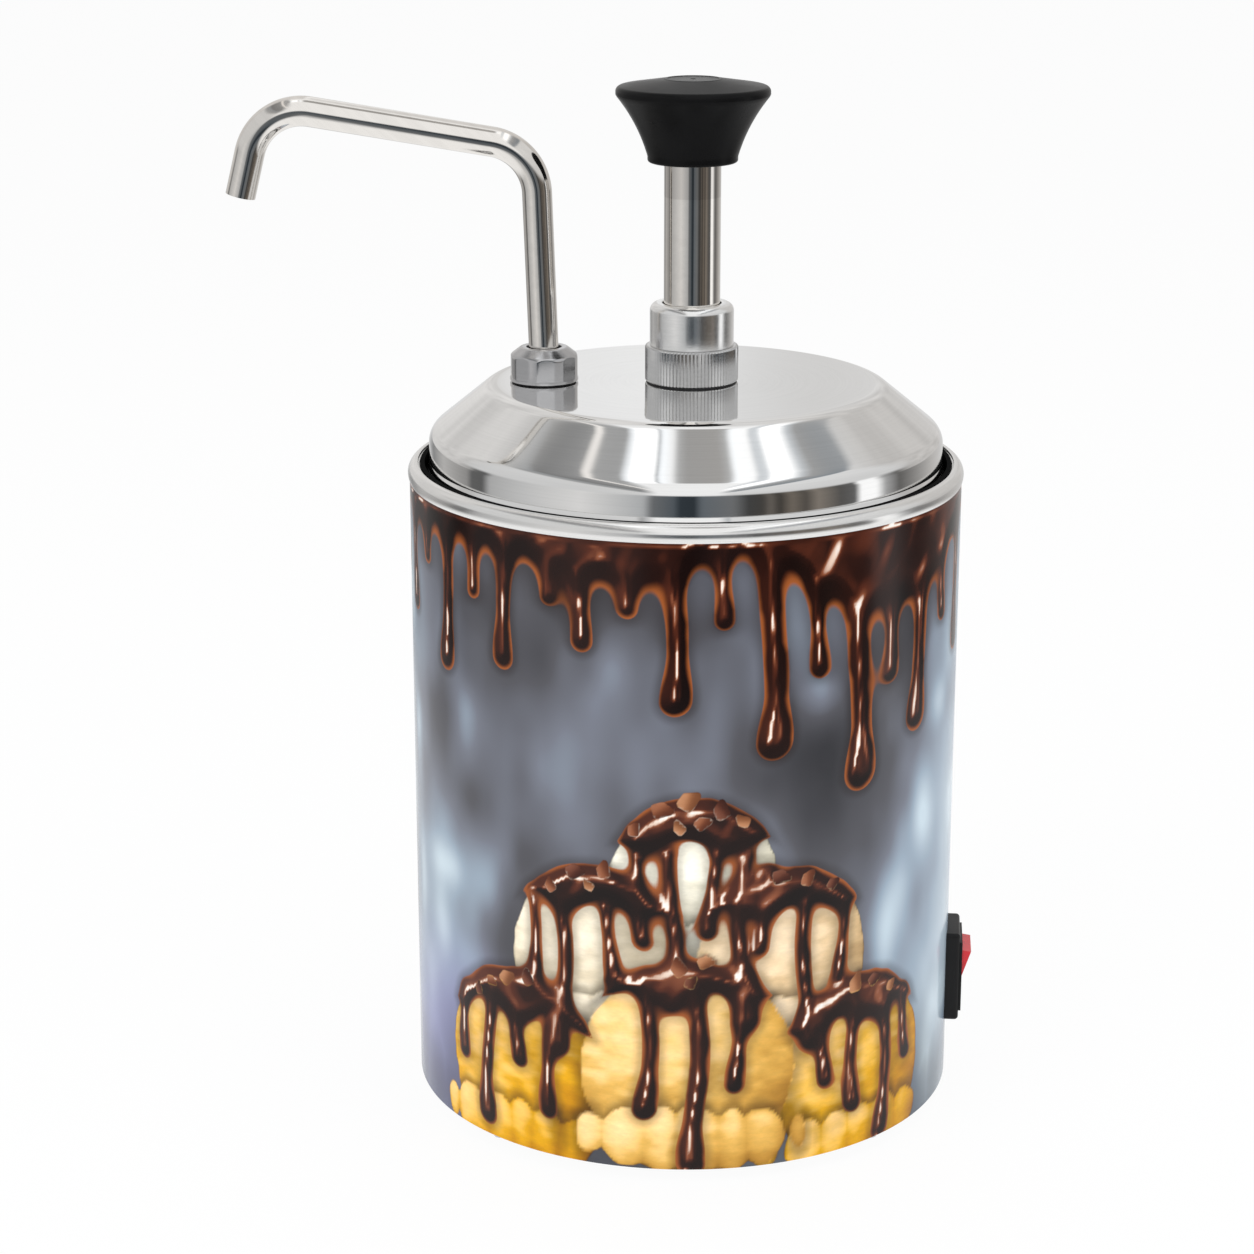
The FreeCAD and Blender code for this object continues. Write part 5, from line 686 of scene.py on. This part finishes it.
def close_rings(outline):
    """The outline from its lower point on the axis round to its upper one, with a ring every 3 mm or less."""
    start = int(np.argmax(outline[:, 0] < 1e-6))
    loop = np.vstack([outline[start + 1:], outline[:start + 1]])
    rings = []
    for a, b in zip(loop[:-1], loop[1:]):
        parts = max(1, math.ceil(np.hypot(*(b - a)) / 3.0))
        rings += [a + (b - a) * k / parts for k in range(parts)]
    rings.append(loop[-1])
    return np.array(rings)


lathe("lid_shell", close_rings(lid_outline), 0.0, "lid", ["lid"], lid_steel, segments=384)


# Pump head: a knurled nut clamps the pump to the lid over a black gasket, and a turned collar above it
# guides the plunger. All are machined from bar.
PUMP_X = 2.3
SPOUT_X = -58.2
KNURLS = 78
KNURL_DEPTH = 0.5


def knurl(radius, level, turn_angle):
    """Straight knurls: the rim's radius falls in a V by the knurl's depth between each pair of ridges."""
    wave = (KNURLS * turn_angle / (2 * math.pi)) % 1
    depth = KNURL_DEPTH * np.abs(2 * wave - 1) ** 1.1
    on_rim = step(17.6, 18.7, radius)
    return radius - depth * on_rim


nut_steel = steel("nut_steel", (0.66, 0.66, 0.66), 0.20, PUMP_X, lines=1500.0, depth=0.00001, tinge=0.06)
lathe("lock_nut", rounded([
    (15.55, 306.4, 0), (19.1, 306.4, 0.8), (19.1, 321.0, 0.8), (15.55, 321.0, 0)], 6), PUMP_X, "lock_nut",
    ["knurled_lock_nut"], nut_steel, segments=KNURLS * 10, shape=knurl, sharp=50.0)
pump_seal_outline = rounded([(15.55, 305.9, 0), (18.6, 305.9, 0.2), (18.6, 306.4, 0.2), (15.55, 306.4, 0)], 4)
lathe("pump_seal", pump_seal_outline, PUMP_X, "lid", ["pump_gasket"], seal_black, segments=160)
pump_steel = steel("pump_steel", (0.95, 0.95, 0.945), 0.19, PUMP_X, lines=1700.0, depth=0.00001, tinge=0.05)
collar_outline = rounded([
    (15.55, 321.0, 0), (17.2, 321.0, 0.3), (17.2, 338.5, 3.2), (12.1, 338.5, 0.3), (12.1, 335.0, 0),
    (15.55, 335.0, 0)])
lathe("collar", collar_outline, PUMP_X, "lid", ["pump_collar"], pump_steel, segments=200)
dress(pump_steel, "pump_cylinder", "valve_body", "ball_stop_pin", "knob_stud", "inlet_ball", "outlet_ball")
seal_white = plastic("seal_white", (0.82, 0.81, 0.77), 0.40)
dress(seal_white, "guide_bush", "inlet_seat", "piston_head")
dress(seal_black, "under_lid_gasket", "wiper_ring", "piston_seals", "spout_gasket")


# Plunger and knob: a polished steel tube, and a black moulded knob like a trumpet, with a round edge
# and a low dome on top, whose flat disc has the mark of the moulding gate.
tube_steel = steel("tube_steel", (0.89, 0.86, 0.82), 0.05, PUMP_X, lines=300.0, depth=0.000002, spread=0.03,
                   tinge=0.05)
tube_tree = tube_steel.node_tree
tube_shader = tube_tree.nodes["Principled BSDF"]
tube_level = put(tube_tree, "SeparateXYZ", {0: put(tube_tree, "TexCoord").outputs["Object"]}).outputs["Z"]
tube_colour = tube_shader.inputs["Base Color"].links[0].from_socket
tube_zone = stretch(tube_tree, tube_level, 0.3815, 0.3822, 0.0, 0.8)
tube_colour = blend_colours(tube_tree, tube_zone, tube_colour, (0.70, 0.67, 0.64, 1))
tube_tree.links.new(tube_colour, tube_shader.inputs["Base Color"])
lathe("plunger", rounded([
    (10.35, 200.6, 0), (11.55, 200.6, 0), (11.55, 407.5, 0), (10.35, 407.5, 0)]), PUMP_X, "plunger",
    ["plunger_tube"], tube_steel, segments=160)
dress(tube_steel, "discharge_riser", "return_spring")

FLARE_RADIUS = 68.0
flare_low, flare_high = np.array([18.3, 398.0]), np.array([30.7, 421.8])
chord = flare_high - flare_low
aside = np.array([chord[1], -chord[0]]) / np.hypot(*chord)
flare_middle = (flare_low + flare_high) / 2 + aside * math.sqrt(FLARE_RADIUS ** 2 - (np.hypot(*chord) / 2) ** 2)
flare = arc(flare_middle, flare_low, flare_high, FLARE_RADIUS, 24)
foot = rounded([(11.6, 395.6, 0), (18.3, 395.6, 1.2), (18.3, 398.0, 0)], 6)
head = rounded([
    (30.7, 421.8, 0), (31.2, 422.7, 0.9), (31.2, 425.7, 2.2), (11.8, 428.75, 0.5), (11.5, 428.9, 0.2),
    (10.6, 428.9, 0.2), (10.2, 428.7, 0.3), (1.2, 428.7, 0)], 8)
mark = np.array([(1.2, 428.7), (1.0, 428.35), (0.5, 428.3), (0.0, 428.3)])
stud_hole = [(0.0, 418.7), (4.05, 418.7), (4.05, 407.7), (11.6, 407.7)]
knob_outline = np.vstack([stud_hole, foot[:-1], flare[:-1], head[:-1], mark])
knob_black = plastic("knob_black", (0.007, 0.007, 0.0073), 0.30, grain_scale=1500.0, depth=0.00003, spread=0.08,
                     specular=0.07)
lathe("knob", knob_outline, PUMP_X, "plunger", ["plunger_knob"], knob_black, segments=200)


# Spout: an eight-sided nut on its own gasket holds a bent steel tube that swivels. The tube leans out a
# little, runs nearly level and ends in a short drop, cut square.
NUT_FLAT_RADIUS, NUT_TURN = 13.5, 0.10


def eight_flats(radius, level, turn_angle):
    """Eight flats: no radius is larger than the octagon's at that angle, with its corners eased."""
    from_flat = (turn_angle - NUT_TURN + math.pi / 8) % (math.pi / 4) - math.pi / 8
    flat_radius = NUT_FLAT_RADIUS / np.cos(from_flat)
    return np.where((radius > 9.6) & (level > 307.72), soft_min(radius, flat_radius, 0.2), radius)


spout_nut_steel = steel("spout_nut_steel", (0.58, 0.58, 0.59), 0.20, SPOUT_X, lines=1600.0, length=0.6,
                        depth=0.000003, spread=0.05, tinge=0.05)
spout_nut_outline = rounded([
    (9.6, 306.4, 0), (14.0, 306.4, 0.3), (14.0, 307.7, 0.2), (13.95, 307.75, 0), (14.0, 316.9, 2.5), (9.6, 320.3, 2.0),
    (7.2, 320.3, 0.35), (7.2, 317.4, 0), (9.6, 317.4, 0)], 10)
lathe("spout_nut_head", spout_nut_outline, SPOUT_X, "spout_nut", ["spout_nut"], spout_nut_steel,
      segments=256, shape=eight_flats, sharp=24.0)
spout_seal_outline = rounded([(9.6, 305.9, 0), (13.2, 305.9, 0.2), (13.2, 306.4, 0.2), (9.6, 306.4, 0)], 4)
lathe("spout_seal", spout_seal_outline, SPOUT_X, "lid", ["spout_gasket"], seal_black, segments=128)
dress(pump_steel, "spout_fitting", "spout_ferrule")

BEND_RADIUS, TUBE_RADIUS, TUBE_WALL, TUBE_COLUMNS = 21.7, 6.1, 1.0, 72
corners = [np.array(c) for c in (
    (-58.2, 308.8), (-58.2, 317.3), (-61.118, 400.849), (-171.152, 418.868), (-180.305, 381.884))]
line = [corners[0]]
for index in (1, 2, 3):
    line += fillet(*corners[index - 1:index + 2], BEND_RADIUS)
line.append(corners[4])
line = np.array(line)
run = np.gradient(line, axis=0)
run /= np.hypot(run[:, 0], run[:, 1])[:, None]
run[-1] = (corners[4] - corners[3]) / np.hypot(*(corners[4] - corners[3]))
run[0] = (0, 1)
ring_angle = np.arange(TUBE_COLUMNS) / TUBE_COLUMNS * 2 * math.pi
sides = []
for radius, step_way in ((TUBE_RADIUS, 1), (TUBE_RADIUS - TUBE_WALL, -1)):
    ends = line[::step_way].copy()
    ways = run[::step_way]
    offset = radius * np.cos(ring_angle)
    x = ends[:, :1] + offset * ways[:, 1:]
    z = ends[:, 1:] - offset * ways[:, :1]
    sides.append(np.stack([x, np.broadcast_to(radius * np.sin(ring_angle), x.shape), z], -1))
spout_points = np.concatenate(sides)
spout_steel = steel("spout_steel", (0.90, 0.87, 0.83), 0.08, SPOUT_X, lines=300.0, depth=0.000002, spread=0.04,
                    tinge=0.06)
spout_faces = loop_faces(len(spout_points), TUBE_COLUMNS)
build("spout", spout_points.reshape(-1, 3), spout_faces, "spout", ["spout_tube"], spout_steel,
      sharp=50.0)


# Switch: a black adapter block saddled on the cabinet's right side, a snap-in housing, and a red rocker.
switch_black = plastic("switch_black", (0.006, 0.006, 0.0065), 0.40, grain_scale=1800.0, depth=0.00005, specular=0.25)
dress(switch_black, "switch_block", "switch_housing", "cord_gland", "gland_nut")
rocker_red = plastic("rocker_red", (0.80, 0.006, 0.020), 0.14, spread=0.04, specular=0.4, coat=0.5)
dress(rocker_red, "switch_rocker")


# Cabinet: a rolled stainless tube with a hemmed foot, a base plate with vent slots, and four rubber feet.
cabinet_steel = steel("cabinet_steel", (0.66, 0.66, 0.66), 0.30, lines=800.0, depth=0.00003)
dress(cabinet_steel, "outer_shell", "base_plate")
bright_zinc = steel("bright_zinc", (0.66, 0.67, 0.69), 0.28, lines=600.0, depth=0.00003)
dress(bright_zinc, "base_screws", "foot_screws", "clamp_nut", "element_clamp", "thermostat", "thermal_cutout",
      "terminal_block_screws")
foot_rubber = plastic("foot_rubber", (0.028, 0.028, 0.029), 0.65, grain_scale=1200.0, depth=0.00008)
dress(foot_rubber, "rubber_feet")


# Inside the cabinet: the wool sleeve, the cast spreader with its tubular element, and the wiring.
wool = plastic("wool", (0.66, 0.62, 0.50), 0.95, grain_scale=500.0, depth=0.0015, patch=0.35, specular=0.1)
dress(wool, "insulation_blanket")
spreader_aluminium = steel("spreader_aluminium", (0.72, 0.72, 0.73), 0.42, lines=500.0, depth=0.00006)
dress(spreader_aluminium, "heat_spreader")
element_sheath = steel("element_sheath", (0.34, 0.28, 0.22), 0.36, lines=400.0, depth=0.00003, tinge=0.3)
dress(element_sheath, "heating_element")
blade_brass = steel("blade_brass", (0.78, 0.62, 0.32), 0.28, lines=500.0)
dress(blade_brass, "switch_terminals")
block_white = plastic("block_white", (0.80, 0.79, 0.73), 0.45)
dress(block_white, "terminal_block")
lead_live = plastic("lead_live", (0.20, 0.075, 0.03), 0.42)
dress(lead_live, "live_lead", "switch_lead", "link_lead", "heater_lead")
lead_neutral = plastic("lead_neutral", (0.02, 0.09, 0.42), 0.42)
dress(lead_neutral, "neutral_lead")
lead_earth = plastic("lead_earth", (0.12, 0.36, 0.06), 0.42)
dress(lead_earth, "earth_lead")
